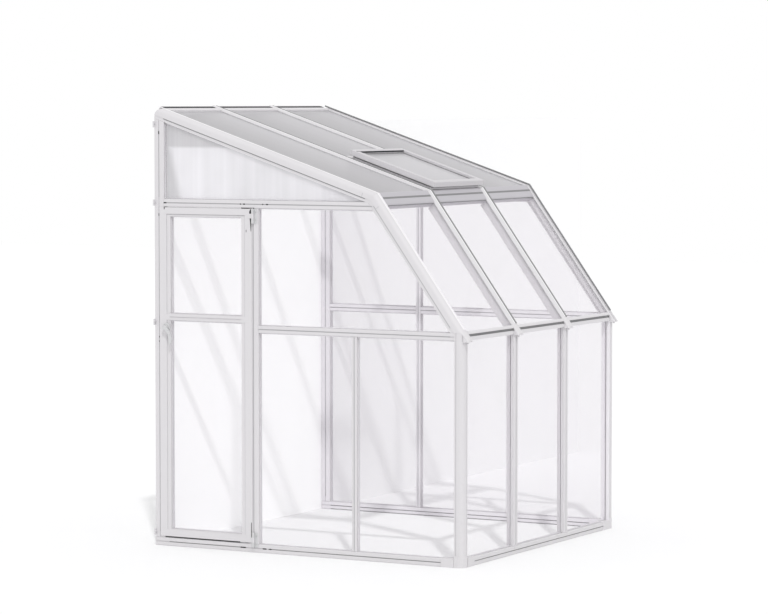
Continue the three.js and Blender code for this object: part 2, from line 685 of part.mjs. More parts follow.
// Eave beam, on the front posts
function eaveBeam() {
  const lip = slopeRun - EAVE_LIP;
  const slotEnd = lip + BITE + SLOT_SPARE;
  const paneTop = COVER_T + paneGap;
  const inner = DEPTH - FRONT_T;
  const slotSide = paneGap / 2;
  const slotTop = railUnder + BITE + SLOT_SPARE;
  const groove = [railUnder + EAVE_SILL, railUnder + EAVE_SILL + EAVE_GROOVE_H];
  const outline = [
    [DEPTH, EAVE_H], onSlope(lip, 0), onSlope(lip, COVER_T), onSlope(slotEnd, COVER_T),
    onSlope(slotEnd, paneTop), onSlope(lip, paneTop), [inner, shoulder], [inner, railUnder],
    [frontGlazing - slotSide, railUnder], [frontGlazing - slotSide, slotTop],
    [frontGlazing + slotSide, slotTop], [frontGlazing + slotSide, railUnder],
    [DEPTH, railUnder], [DEPTH, groove[0]], [DEPTH - EAVE_GROOVE_D, groove[0]],
    [DEPTH - EAVE_GROOVE_D, groove[1]], [DEPTH, groove[1]],
  ];
  const end = half - CORNER_W - SEAM;
  add("eave_beam", cut(alongX(outline, -end, end), ...slopeCovers), resin);
}

// Roof rafters, from the wall to the bend
function ridgeRound() {
  const corner = meet(upright(0), roofLine(-CROWN_H));
  const halfTurn = (Math.PI / 2 - roofAngle) / 2;
  const tangent = RIDGE_ROUND / Math.tan(halfTurn);
  const middle = [RIDGE_ROUND, corner[1] - tangent];
  const sweep = Math.PI / 2 + roofAngle;
  const arc = Array.from({ length: ROUND_STEPS + 1 }, (_, i) => {
    const turn = Math.PI - (sweep * i) / ROUND_STEPS;
    return [middle[0] + RIDGE_ROUND * Math.cos(turn), middle[1] + RIDGE_ROUND * Math.sin(turn)];
  });
  const outside = onRoof(0, -CROWN_H - OVERRUN);
  return [...arc, [arc[ROUND_STEPS][0], outside[1]], [-OVERRUN, outside[1]], [-OVERRUN, middle[1]]];
}
function roofRafters() {
  const inward = new THREE.Vector3(0, Math.sin(roofAngle), -Math.cos(roofAngle));
  const behindWall = beyond([0, 0], [-1, 0]);
  const down = RIDGE_RUN + SEAM;
  const up = roofRun - BEND_UP - SEAM;
  const past = roofRun + OVERRUN;
  const underFlange = (outline) => alongX(outline, -bodyEnd, bodyEnd);
  const ridgeSide = underFlange([
    onRoof(-OVERRUN, COVER_T), onRoof(down, COVER_T), onRoof(down, reach), [-reach, 0],
  ]);
  const bendSide = underFlange([
    onRoof(up, COVER_T), onRoof(past, COVER_T), onRoof(past, reach), onRoof(up, reach),
  ]);
  rafterLines.forEach((x, i) => {
    const side = Math.sign(x);
    const inner = innerRafters.includes(x);
    const outline = inner ? rafterOutline(sheetGap) : gableRafterOutline(sheetGap, side);
    const rafter = bar(outline, [x, ...onRoof(past, 0)], [x, ...onRoof(-OVERRUN, 0)], inward);
    const ends = [behindWall, belowMitre];
    const rounding = alongX(ridgeRound(), -WIDTH, WIDTH);
    const fits = inner ? [ridgeSide, bendSide] : [rounding, ...gableCutters(side)];
    add("roof_rafter_" + (i + 1), cut(rafter, ...ends, ...fits), resin);
  });
}

// Slope rafters, from the bend to the drip nose at the eave
function noseOutline() {
  const face = DEPTH + SEAM;
  const low = EAVE_H - NOSE_DROP;
  const line = COVER_T / 2;
  return [meet(slopeLine(line), upright(face)), meet(slopeLine(line), level(low)), [face, low]];
}
function slopeRafters() {
  const inward = new THREE.Vector3(0, Math.sin(slopeAngle), -Math.cos(slopeAngle));
  const low = EAVE_H - NOSE_DROP;
  const belowNose = beyond([DEPTH, low], [0, -1]);
  const pastNose = beyond([DEPTH + NOSE_OUT, low], [1, 0]);
  const face = DEPTH + SEAM;
  const seat = shoulder + SEAM;
  const seatOutline = [
    meet(slopeLine(COVER_T), level(seat)), meet(slopeLine(COVER_T), upright(face)), [face, -reach],
    [-reach, -reach], [-reach, seat],
  ];
  const overSeat = alongX(seatOutline, -WIDTH, WIDTH);
  const down = BEND_DOWN + SEAM;
  const bendSide = alongX(
    [onSlope(-OVERRUN, COVER_T), onSlope(down, COVER_T), onSlope(down, reach), onSlope(-OVERRUN, reach)],
    -bodyEnd,
    bodyEnd,
  );
  rafterLines.forEach((x, i) => {
    const side = Math.sign(x);
    const inner = innerRafters.includes(x);
    const outline = inner ? rafterOutline(paneGap) : gableRafterOutline(paneGap, side);
    const ends = [[x, ...onSlope(slopeRun + OVERRUN, 0)], [x, ...onSlope(-OVERRUN, 0)]];
    const rafter = bar(outline, ...ends, inward);
    const fits = inner ? [bendSide] : gableCutters(side);
    const trimmed = cut(rafter, aboveMitre, belowNose, pastNose, overSeat, ...fits);
    const nose = cut(alongX(noseOutline(), x - COVER_W / 2, x + COVER_W / 2), pastNose);
    const plug = rod(PLUG_R, Z, [low - PLUG_H, low + EDGE], place(x, DEPTH + PLUG_AT, 0));
    add("slope_rafter_" + (i + 1), join(trimmed, nose, plug), resin);
  });
}

// Roof sheets and sloped panes, one in each bay
function baySides(i) {
  const left = rafterLines[i] + WEB_W / 2 + SLOT_SPARE;
  const right = rafterLines[i + 1] - WEB_W / 2 - SLOT_SPARE;
  return [left, right];
}
const ventTop = VENT_FROM - VENT_HEADER_UP;
function slabOn(point, [x0, x1], [s0, s1], thickness) {
  const top = COVER_T + SEAM;
  const outline = [point(s0, top), point(s1, top), point(s1, top + thickness), point(s0, top + thickness)];
  return alongX(outline, x0, x1);
}
function roofGlazing() {
  const middle = (BAYS - 1) / 2;
  for (let i = 0; i < BAYS; i += 1) {
    const foot = i === middle ? ventTop + SHEET_BITE : roofRun - BEND_NOSE - SLOT_SPARE;
    const sheet = slabOn(onRoof, baySides(i), [RIDGE_RUN - SHEET_BITE, foot], SHEET_T);
    add("roof_sheet_" + (i + 1), sheet, twinWall);
    const pane = slabOn(onSlope, baySides(i), [BEND_DOWN - BITE, slopeRun - EAVE_LIP + BITE], PANE_T);
    add("slope_pane_" + (i + 1), pane, clear);
    add("front_pane_" + (i + 1), frontSlab(frontEdges[i], BITE, PANE_T), clear);
  }
}

// Panes and sheets of the gables
function gableGlazing() {
  for (const side of [-1, 1]) {
    for (const pane of gablePanes(side)) {
      const name = pane.name + (side < 0 ? "_left" : "_right");
      add(name, gableSlab(pane, side, BITE, pane.t), pane.t === SHEET_T ? twinWall : clear);
    }
  }
}

// Door, hung on the door post
const doorFace = -half - SEAM - FLANGE_T;
const doorBack = LEAF_IN - half;
const flangeBack = -half - SEAM;
const leafNear = WALL_POST_W - LAP_WALL;
const leafFar = doorPostNear + LAP_POST;
const leafLow = BASE_H + DOOR_GAP;
const leafTop = HEADER_AT - DOOR_HEAD_GAP;
const hingeD = leafFar + HINGE_R;
const hingeX = doorFace - HINGE_R / 2;
const hingeLows = [HINGE_LOW, leafTop - HINGE_L];
const knuckleL = HINGE_L / KNUCKLES;

function stile(edge, bodyEdge, turn) {
  const faceEnd = edge + turn * STILE_FACE;
  const end = edge + turn * STILE_W;
  return alongZ(
    [
      [doorFace, edge], [doorFace, faceEnd], [doorFace + BEAD_STEP, faceEnd + turn * BEAD_STEP],
      [doorFace + BEAD_STEP, end], [doorBack, end], [doorBack, bodyEdge], [flangeBack, bodyEdge],
      [flangeBack, edge],
    ],
    leafLow,
    leafTop,
  );
}
function doorRail(low, high, bead) {
  const [d0, d1] = [leafNear + STILE_FACE, leafFar - STILE_FACE];
  const face = doorFace + BEAD_STEP;
  const plain = block([face, doorBack], [d0, d1], [low, high]);
  const flat = block([doorFace, face], [d0, d1], [low + bead[0], high - bead[1]]);
  return join(plain, flat);
}
const doorPaneEdges = [
  { name: "door_pane_upper", z: [MID_RAIL_AT + MID_RAIL_H / 2, leafTop - TOP_RAIL_H] },
  { name: "door_pane_lower", z: [leafLow + FOOT_RAIL_H, MID_RAIL_AT - MID_RAIL_H / 2] },
];
function doorSlab([z0, z1], growth, thickness) {
  const middle = (doorFace + BEAD_STEP + doorBack) / 2;
  const across = [middle - thickness / 2, middle + thickness / 2];
  const out = [leafNear + STILE_W - growth, leafFar - STILE_W + growth];
  return block(across, out, [z0 - growth, z1 + growth]);
}
function doorKnuckle(low) {
  const z = [low + knuckleL + SEAM, low + HINGE_L - knuckleL - SEAM];
  const at = place(hingeX, hingeD, 0);
  const leaf = block([doorFace - HINGE_PLATE_T, doorFace + EDGE], [hingeD - HINGE_PLATE_W, hingeD], z);
  return { body: join(rod(HINGE_R, Z, z, at), leaf), bore: rod(PIN_R + PIN_GAP, Z, [low, low + HINGE_L], at) };
}
function doorFrame(group) {
  const midLow = MID_RAIL_AT - MID_RAIL_H / 2;
  const midHigh = MID_RAIL_AT + MID_RAIL_H / 2;
  const rails = [
    doorRail(leafTop - TOP_RAIL_H, leafTop, [BEAD_H, 0]),
    doorRail(midLow, midHigh, [BEAD_STEP, BEAD_STEP]),
    doorRail(leafLow, leafLow + FOOT_RAIL_H, [0, BEAD_STEP]),
  ];
  const stiles = [
    stile(leafNear, WALL_POST_W + DOOR_PLAY, 1),
    stile(leafFar, doorPostNear - DOOR_PLAY, -1),
  ];
  const knuckles = hingeLows.map(doorKnuckle);
  const slots = doorPaneEdges.map(({ z }) => doorSlab(z, BITE + SLOT_SPARE, paneGap));
  const midLine = block(
    [doorFace - OVERRUN, doorFace + LINE_D],
    [leafNear + STILE_W, leafFar - STILE_W],
    [MID_RAIL_AT - LINE_W / 2, MID_RAIL_AT + LINE_W / 2],
  );
  const spindleBore = rod(SPINDLE_R + SPINDLE_GAP, X, [-WIDTH, 0], place(0, HANDLE_AT, HANDLE_H));
  const frame = join(...stiles, ...rails, ...knuckles.map(({ body }) => body));
  const bores = [spindleBore, ...knuckles.map(({ bore }) => bore)];
  add("door_frame", cut(frame, ...slots, midLine, ...bores), resin, group);
  doorPaneEdges.forEach(({ name, z }) => add(name, doorSlab(z, BITE, PANE_T), clear, group));
}
function doorHinges() {
  hingeLows.forEach((low, i) => {
    const at = place(hingeX, hingeD, 0);
    const high = low + HINGE_L;
    const across = [flangeBack - HINGE_PLATE_T, flangeBack];
    const plate = block(across, [hingeD, hingeD + HINGE_PLATE_W], [low, high]);
    const clearance = rod(HINGE_R + PIN_GAP, Z, [low + knuckleL, high - knuckleL], at);
    const barrel = cut(join(rod(HINGE_R, Z, [low, high], at), plate), clearance);
    const name = i === 0 ? "door_hinge_lower" : "door_hinge_upper";
    add(name, join(barrel, rod(PIN_R, Z, [low, high], at)), fitting);
  });
}

// Handle: rose on the door, lever with its spindle, and the tongue that turns behind the wall post
function rose(group) {
  const bore = SPINDLE_R + SPINDLE_GAP;
  const profile = [
    [bore, 0], [ROSE_R, 0], [ROSE_R, ROSE_T - ROSE_EDGE], [ROSE_R - ROSE_EDGE, ROSE_T], [bore, ROSE_T],
    [bore, 0],
  ].map(([r, h]) => new THREE.Vector2(r, h));
  const geometry = new THREE.LatheGeometry(profile, ROSE_SIDES);
  geometry.applyQuaternion(new THREE.Quaternion().setFromUnitVectors(Y, X.clone().negate()));
  const at = place(doorFace - SEAM, HANDLE_AT, HANDLE_H);
  add("handle_rose", geometry.translate(at.x, at.y, at.z), fitting, group);
}
function leverOutline() {
  const side = (sign) =>
    Array.from({ length: LEVER_STEPS + 1 }, (_, i) => {
      const share = i / LEVER_STEPS;
      const width = LEVER_W * (1 - share * LEVER_TAPER_SHARE);
      return [LEVER_BOW * Math.sin(Math.PI * share) + (sign * width) / 2, -LEVER_L * share];
    });
  return [...side(1), ...side(-1).reverse()];
}
function lever(group) {
  const outer = doorFace - 2 * SEAM - ROSE_T;
  const inner = -half + GABLE_T + TONGUE_GAP + TONGUE_T;
  const hub = rod(HUB_R, X, [outer - HUB_L, outer], new THREE.Vector3());
  const spindle = rod(SPINDLE_R, X, [outer - EDGE, inner], new THREE.Vector3());
  const from = new THREE.Vector3(outer - HUB_L + LEVER_T, 0, 0);
  const arm = extrude(leverOutline(), LEVER_T, Y.clone().negate(), Z, X.clone().negate(), from);
  arm.rotateX(THREE.MathUtils.degToRad(-LEVER_TILT_DEG));
  add("handle_lever", join(hub, spindle, arm), fitting, group);
}
function tongue(group) {
  const hubR = TONGUE_W / 2;
  const from = -half + GABLE_T + TONGUE_GAP;
  const round = rod(hubR, X, [from, from + TONGUE_T], new THREE.Vector3());
  const blade = block([from, from + TONGUE_T], [-hubR + EDGE, hubR - EDGE], [0, TONGUE_L]);
  const bore = rod(SPINDLE_R + SEAM, X, [from - OVERRUN, from + OVERRUN], new THREE.Vector3());
  add("latch_tongue", cut(join(round, blade), bore), metal, group);
}
function door() {
  const hinge = place(hingeX, hingeD, 0);
  const group = new THREE.Group();
  group.position.copy(hinge);
  greenhouse.add(group);
  const leaf = new THREE.Group();
  leaf.position.copy(hinge).negate();
  group.add(leaf);
  doorFrame(leaf);
  rose(leaf);
  const handle = new THREE.Group();
  handle.position.copy(place(0, HANDLE_AT, HANDLE_H));
  leaf.add(handle);
  lever(handle);
  tongue(handle);
  doorHinges();
}

// Roof vent. In its group, y runs up the roof from the hinge line and z stands square to the roof.
const ventHalf = bay / 2 - COVER_W / 2 + VENT_LAP;
const ventLength = roofRun + VENT_PAST - VENT_FROM;
const ventHinges = [-VENT_HINGE_AT, VENT_HINGE_AT];
function ventHeader() {
  const low = VENT_FROM + VENT_HEADER_DOWN;
  const ledge = COVER_T + sheetGap;
  const slotEnd = ventTop + SHEET_BITE + SLOT_SPARE;
  const outline = [
    onRoof(ventTop, 0), onRoof(low, 0), onRoof(low, ledge), onRoof(low + VENT_LEDGE, ledge),
    onRoof(low + VENT_LEDGE, BEAM_T), onRoof(ventTop, BEAM_T), onRoof(ventTop, ledge),
    onRoof(slotEnd, ledge), onRoof(slotEnd, COVER_T), onRoof(ventTop, COVER_T),
  ];
  const end = bay / 2 - RAFTER_W / 2 - SEAM;
  const [axisS, axisB] = ventAxis;
  const [d, z] = onRoof(axisS, axisB);
  const axis = place(0, d, z);
  const knuckles = ventHinges.flatMap((x) => {
    const sides = [x - VENT_KNUCKLE / 2, x + VENT_KNUCKLE / 2];
    const foot = [
      onRoof(axisS - VENT_HINGE_R, axisB), onRoof(axisS + VENT_HINGE_R, axisB),
      onRoof(axisS + VENT_HINGE_R, EDGE), onRoof(axisS - VENT_HINGE_R, EDGE),
    ];
    const pinEnds = [sides[0] - VENT_EYE, sides[1] + VENT_EYE];
    return [rod(VENT_HINGE_R, X, sides, axis), alongX(foot, ...sides), rod(VENT_PIN_R, X, pinEnds, axis)];
  });
  const header = cut(alongX(outline, -end, end), ...roofCovers);
  add("vent_header", join(header, ...knuckles), resin);
}
// Heights in the vent's group
const ventUnder = -VENT_AXIS_IN; // underside of the frame
const ventFoot = ventUnder - VENT_LIFT - COVER_T - sheetGap + SEAM; // underside of the ring
const ventSheetTop = ventUnder + VENT_T - VENT_SHEET_DOWN;
function ventSlab(growth, spare) {
  const inset = VENT_BAR - growth;
  const width = 2 * (ventHalf - inset);
  const length = ventLength - 2 * inset;
  const slab = new THREE.BoxGeometry(width, length, SHEET_T + 2 * spare);
  return slab.translate(0, -VENT_AXIS_UP - ventLength / 2, ventSheetTop - SHEET_T / 2);
}
function ventRect(inset) {
  const w = ventHalf - inset;
  const top = -VENT_AXIS_UP - inset;
  const low = inset - VENT_AXIS_UP - ventLength;
  return shapeOf([[-w, low], [w, low], [w, top], [-w, top]]);
}
function ventRim() {
  const shape = ventRect(VENT_BEVEL);
  shape.holes.push(ventRect(VENT_BAR - VENT_BEVEL));
  const bevels = { bevelThickness: VENT_BEVEL, bevelSize: VENT_BEVEL, bevelSegments: 1 };
  const rim = new THREE.ExtrudeGeometry(shape, { depth: VENT_T - 2 * VENT_BEVEL, ...bevels });
  return rim.translate(0, 0, VENT_BEVEL + ventUnder);
}
function ventRing() {
  const shape = ventRect(VENT_INSET);
  shape.holes.push(ventRect(VENT_BAR - SEAM));
  const depth = ventUnder + 2 * VENT_BEVEL - ventFoot;
  return new THREE.ExtrudeGeometry(shape, { depth, bevelEnabled: false }).translate(0, 0, ventFoot);
}
function ventFrame(group) {
  const eyes = ventHinges.flatMap((x) =>
    [-1, 1].map((side) => {
      const near = x + side * (VENT_KNUCKLE / 2 + SEAM);
      const far = near + side * (VENT_EYE - SEAM);
      const ends = [Math.min(near, far), Math.max(near, far)];
      const thick = [-VENT_ARM_T / 2, VENT_ARM_T / 2];
      const arm = block(ends, [0, VENT_AXIS_UP + EDGE], thick);
      return join(rod(VENT_HINGE_R, X, ends, new THREE.Vector3()), arm);
    }),
  );
  const bore = rod(VENT_PIN_R + PIN_GAP, X, [-ventHalf, ventHalf], new THREE.Vector3());
  const cutters = [ventSlab(VENT_SHEET_BITE + SLOT_SPARE, SEAM), bore];
  add("vent_frame", join(cut(join(ventRim(), ventRing(), ...eyes), ...cutters), stayEye()), resin, group);
  add("vent_sheet", ventSlab(VENT_SHEET_BITE, 0), twinWall, group);
}

// Stay: a bar with holes that hangs from an eye under the vent and drops over the peg on the bend beam
const stayPivot = new THREE.Vector3(0, ventAxis[0] - stayAt[0], ventAxis[1] - stayAt[1]);
function stayEye() {
  const h = STAY_ARM_T / 2;
  const top = stayPivot.z + STAY_EYE_W / 2;
  const armFrom = stayPivot.y + STAY_EYE_W / 2;
  const armTo = VENT_BAR - VENT_AXIS_UP - ventLength;
  const arm = block([-h, h], [-armFrom, -armTo + EDGE], [ventFoot + SEAM, top]);
  const round = rod(STAY_EYE_W / 2, X, [-h, h], stayPivot);
  const pin = rod(STAY_PIN_R, X, [0, h + STAY_PIN_L], stayPivot);
  return join(arm, round, pin);
}
function stay(group) {
  const last = stayReach();
  const wide = STAY_W / 2;
  const narrow = wide * STAY_END_SHARE;
  const end = last + wide;
  const outline = [
    [-wide, 0], [-wide, last], [-narrow, end], [narrow, end], [wide, last], [wide, 0],
    [narrow, -wide], [-narrow, -wide],
  ];
  const from = new THREE.Vector3(STAY_ARM_T / 2 + SEAM, 0, 0);
  const strip = extrude(outline.map(([a, b]) => [b, a]), STAY_T, Y, Z, X, from);
  const pitch = last / STAY_HOLES;
  const holes = Array.from({ length: STAY_HOLES + 1 }, (_, i) =>
    rod(STAY_HOLE_R, X, [0, OVERRUN], new THREE.Vector3(0, pitch * i, 0)),
  );
  add("vent_stay", cut(strip, ...holes), metal, group);
}
function vent() {
  ventHeader();
  const group = new THREE.Group();
  const [d, z] = onRoof(...ventAxis);
  group.position.copy(place(0, d, z));
  group.rotation.x = roofAngle;
  greenhouse.add(group);
  ventFrame(group);
  const hung = new THREE.Group();
  hung.position.copy(stayPivot);
  group.add(hung);
  stay(hung);
}

baseRails();
wallPosts();
cornerPosts();
frontPosts();
gableBars();
ridgePlate();
bendBeam();
eaveBeam();
roofRafters();
slopeRafters();
roofGlazing();
gableGlazing();
door();
vent();

// The origin is on the ground, in the middle of the box round the whole greenhouse.
const box = new THREE.Box3().setFromObject(greenhouse);
greenhouse.position.set(-(box.min.x + box.max.x) / 2, -(box.min.y + box.max.y) / 2, 0);

export default greenhouse;
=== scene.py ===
# %% [markdown]
# A lean-to greenhouse in white resin, dressed for its portrait.
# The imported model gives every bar, pane, hinge and lever in its true place, and this script leaves those
# shapes alone. It gives each one a finish, and adds the small things that a maker fits last: gaskets and
# seals, beads round the panes, screws and caps, a weather strip and a brush for the door.

# %% Load the frame
import math

import bmesh
import bpy
from mathutils import Euler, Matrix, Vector

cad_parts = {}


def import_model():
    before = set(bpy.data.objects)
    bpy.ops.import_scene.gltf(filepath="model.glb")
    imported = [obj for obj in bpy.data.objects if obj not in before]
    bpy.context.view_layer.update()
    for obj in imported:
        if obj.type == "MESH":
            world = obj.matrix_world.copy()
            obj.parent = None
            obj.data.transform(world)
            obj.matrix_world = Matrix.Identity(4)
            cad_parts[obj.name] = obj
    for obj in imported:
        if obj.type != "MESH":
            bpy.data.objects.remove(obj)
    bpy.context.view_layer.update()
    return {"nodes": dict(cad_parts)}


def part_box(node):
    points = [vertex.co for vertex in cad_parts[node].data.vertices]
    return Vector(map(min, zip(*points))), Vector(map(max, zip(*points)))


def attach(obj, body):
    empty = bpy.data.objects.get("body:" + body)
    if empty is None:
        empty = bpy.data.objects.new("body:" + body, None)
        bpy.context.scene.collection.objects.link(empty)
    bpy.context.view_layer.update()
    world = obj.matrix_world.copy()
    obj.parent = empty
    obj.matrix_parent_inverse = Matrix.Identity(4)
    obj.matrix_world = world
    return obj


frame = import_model()

# %% [markdown]
# On the real greenhouse every place is measured from the house wall and the ground, in millimetres, so
# the script does the same: x runs along the wall, d comes out from it, z goes up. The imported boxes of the
# base rails and of a wall post say where that corner lies in the model, so no offset is typed by hand.

# %% Places measured from the house wall
MM = 0.001


def low(node):
    return Vector(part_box(node)[0])


def high(node):
    return Vector(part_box(node)[1])


WALL_X = (low("base_rail_left").x + high("base_rail_right").x) / 2
WALL_Y = high("wall_post_left").y
DEPTH = (WALL_Y - low("base_rail_front").y) / MM


def wall(x, d, z):
    return Vector((WALL_X + x * MM, WALL_Y - d * MM, z * MM))


print("wall corner at y %.4f, depth %.1f mm" % (WALL_Y, DEPTH))

# %% [markdown]
# The roof and the slope in front of it are two tilted planes. A place on one of them is given by s, how
# far down the plane it lies, and b, how deep it is under the face of the bars. Three heights and one
# depth fix both planes, and they are the ones that the frame was drawn with. A seal that follows a rafter
# is mitred where the planes meet, as the real one is, so a third function gives the places of that mitre.

# %% Places on the roof and on the slope
RIDGE_H = 2482
BEND_D = 1419
BEND_H = 2011
EAVE_H = 1267
ROOF_TILT = math.atan2(RIDGE_H - BEND_H, BEND_D)
SLOPE_TILT = math.atan2(BEND_H - EAVE_H, DEPTH - BEND_D)
ROOF_RUN = math.hypot(BEND_D, RIDGE_H - BEND_H)
SLOPE_RUN = math.hypot(DEPTH - BEND_D, BEND_H - EAVE_H)
MITRE = math.tan((SLOPE_TILT - ROOF_TILT) / 2)


def on_roof(x, s, b):
    across, down = math.cos(ROOF_TILT), math.sin(ROOF_TILT)
    return wall(x, s * across - b * down, RIDGE_H - s * down - b * across)


def on_slope(x, s, b):
    across, down = math.cos(SLOPE_TILT), math.sin(SLOPE_TILT)
    return wall(x, BEND_D + s * across - b * down, BEND_H - s * down - b * across)


def at_bend(x, b):
    return on_slope(x, b * MITRE, b)


print("roof %.1f deg, %.0f mm" % (math.degrees(ROOF_TILT), ROOF_RUN))
print("slope %.1f deg, %.0f mm" % (math.degrees(SLOPE_TILT), SLOPE_RUN))

# %% [markdown]
# The camera stands in front and to the left, well back and a little above head height, and looks slightly
# down. A long lens keeps the posts nearly parallel, as they are in the photograph.

# %% Camera
CAMERA_AT = (-16409, 9979, 2519)
CAMERA_TURN = 61.173
CAMERA_DIP = 3.644
LENS = 152.66
SENSOR = 36.0

camera_data = bpy.data.cameras.new("camera")
camera_data.sensor_width = SENSOR
camera_data.lens = LENS
camera = bpy.data.objects.new("camera", camera_data)
camera.location = wall(*CAMERA_AT)
camera.rotation_euler = Euler((math.radians(90 - CAMERA_DIP), 0, math.radians(-CAMERA_TURN)), "XYZ")
bpy.context.scene.collection.objects.link(camera)
bpy.context.scene.camera = camera
print("camera at", [round(c, 3) for c in camera.location])

# %% [markdown]
# Materials are small node trees. A few short helpers keep them readable: one feeds the sockets of a node,
# with a value or with a link from another socket, one adds a node and feeds it, and one starts a shader
# node group. A group holds an effect that several finishes share, and each finish places it with its own
# values.

# %% Helpers for node trees
FLOAT, COLOR = "NodeSocketFloat", "NodeSocketColor"


def feed(tree, made, **values):
    """Fills the sockets of a node. Names are socket names, with _ for a space."""
    for key, value in values.items():
        socket = made.inputs[key.replace("_", " ")]
        if isinstance(value, bpy.types.NodeSocket):
            tree.links.new(value, socket)
        else:
            socket.default_value = value
    return made


def node(tree, kind, **values):
    """Adds a node. A name in small letters is a setting of the node, any other name is a socket."""
    made = tree.nodes.new(kind)
    for key in [key for key in values if key.islower()]:
        setattr(made, key, values.pop(key))
    return feed(tree, made, **values)


def new_group(name, inputs, outputs):
    tree = bpy.data.node_groups.new(name, "ShaderNodeTree")
    for label, kind, default in inputs:
        tree.interface.new_socket(label, in_out="INPUT", socket_type=kind).default_value = default
    for label, kind in outputs:
        tree.interface.new_socket(label, in_out="OUTPUT", socket_type=kind)
    return tree, tree.nodes.new("NodeGroupInput").outputs, tree.nodes.new("NodeGroupOutput")


def maths(tree, operation, *values):
    made = tree.nodes.new("ShaderNodeMath")
    made.operation = operation
    for socket, value in zip(made.inputs, values):
        if isinstance(value, (int, float)):
            socket.default_value = value
        else:
            tree.links.new(value, socket)
    return made.outputs[0]


def ramp(tree, value, start, end, smooth=False):
    kind = "SMOOTHSTEP" if smooth else "LINEAR"
    made = node(tree, "ShaderNodeMapRange", interpolation_type=kind, From_Min=start, From_Max=end)
    return feed(tree, made, Value=value).outputs[0]


def blend_colors(tree, factor, first, second):
    made = node(tree, "ShaderNodeMix", data_type="RGBA", Factor=factor)
    # The color sockets of a mix node share their names with others, so they are found by number.
    for index, color in ((6, first), (7, second)):
        if isinstance(color, tuple):
            made.inputs[index].default_value = (*color[:3], 1)
        else:
            tree.links.new(color, made.inputs[index])
    return made.outputs[2]


def scaled(tree, vector, level):
    return node(tree, "ShaderNodeVectorMath", operation="SCALE", Vector=vector, Scale=level).outputs[0]


def separate(tree, vector):
    return node(tree, "ShaderNodeSeparateXYZ", Vector=vector).outputs


def place_in(tree):
    return tree.nodes.new("ShaderNodeTexCoord").outputs["Object"]


def noise(tree, position, scale, stretch=(1.0, 1.0, 1.0), detail=3.0):
    mapped = node(tree, "ShaderNodeMapping", Vector=position, Scale=stretch).outputs[0]
    return node(tree, "ShaderNodeTexNoise", Vector=mapped, Scale=scale, Detail=detail).outputs["Fac"]


print("camera", camera.name, "and node helpers ready")

# %% [markdown]
# White resin is never one flat white. It has a faint cloudiness from the extruder, a fine satin grain,
# lines drawn along the bar by the die, and a little dust that settles low down and on faces that look up.
# The group below makes all four as masks and puts out a colour, a roughness and a height.

# %% Shared effect: satin resin
DUST_RISES = 0.35


def satin_resin_group():
    tree, given, out = new_group(
        "satin resin",
        [("Tone", COLOR, (0.7, 0.7, 0.7, 1)), ("Dust Tone", COLOR, (0.56, 0.55, 0.52, 1)),
         ("Dust", FLOAT, 0.12), ("Roughness", FLOAT, 0.42)],
        [("Color", COLOR), ("Roughness", FLOAT), ("Height", FLOAT)],
    )
    place = place_in(tree)
    cloud = noise(tree, place, 2.4)
    grain = noise(tree, place, 420.0, detail=2.0)
    drawn = noise(tree, place, 90.0, stretch=(1.0, 1.0, 0.03), detail=2.0)
    shade = maths(tree, "MULTIPLY_ADD", cloud, 0.05, 0.965)
    level = maths(tree, "MULTIPLY_ADD", drawn, 0.02, shade)
    toned = scaled(tree, given["Tone"], level)
    # Dust lies low down, and on faces that look up.
    near_ground = maths(tree, "SUBTRACT", 1.0, ramp(tree, separate(tree, place)["Z"], 0.0, DUST_RISES))
    normal = tree.nodes.new("ShaderNodeNewGeometry").outputs["Normal"]
    looks_up = maths(tree, "MULTIPLY", separate(tree, normal)["Z"], 0.4)
    patchy = noise(tree, place, 14.0)
    where = maths(tree, "MAXIMUM", near_ground, looks_up)
    dusty = maths(tree, "MULTIPLY", maths(tree, "MULTIPLY", where, patchy), given["Dust"])
    feed(
        tree, out,
        Color=blend_colors(tree, dusty, toned, given["Dust Tone"]),
        Roughness=maths(tree, "MULTIPLY_ADD", grain, 0.16, given["Roughness"]),
        Height=maths(tree, "MULTIPLY_ADD", drawn, 2.0, grain),
    )
    return tree


SATIN_RESIN = satin_resin_group()
print("group:", SATIN_RESIN.name)

# %% [markdown]
# Each finish is a function that makes one material round a Principled shader. Values that are the same
# all over go straight on its sockets. The bars, the moulded fittings and the gaskets all use the satin
# group, each with its own tone. Bars of the far gable have painted light: a second, whiter tone on the
# side that looks into the room, which makes that shaded side look as bright as a lit one.

# %% Finish: white resin bars, fittings and gaskets
def new_material(name, roughness, metallic=0.0):
    made = bpy.data.materials.new(name)
    made.use_nodes = True
    shader = made.node_tree.nodes["Principled BSDF"]
    shader.inputs["Roughness"].default_value = roughness
    shader.inputs["Metallic"].default_value = metallic
    return made, made.node_tree, shader


def resin(name, tone, roughness=0.42, dust=0.12, relief=0.00006, shine=0.5, inner=None):
    made, tree, shader = new_material(name, roughness)
    satin = node(
        tree, "ShaderNodeGroup", node_tree=SATIN_RESIN, Tone=(*tone, 1), Roughness=roughness, Dust=dust
    ).outputs
    bump = node(tree, "ShaderNodeBump", Strength=0.5, Distance=relief, Height=satin["Height"])
    color = satin["Color"]
    # Painted light: faces turned towards -x get the whiter tone, so the shaded inner side of a bar looks lit.
    if inner:
        normal = tree.nodes.new("ShaderNodeTexCoord").outputs["Normal"]
        color = blend_colors(tree, ramp(tree, separate(tree, normal)["X"], *PAINTED_LIGHT_FACING), color, inner)
    feed(tree, shader, Specular_IOR_Level=shine, Base_Color=color)
    feed(tree, shader, Roughness=satin["Roughness"], Normal=bump.outputs["Normal"])
    return made


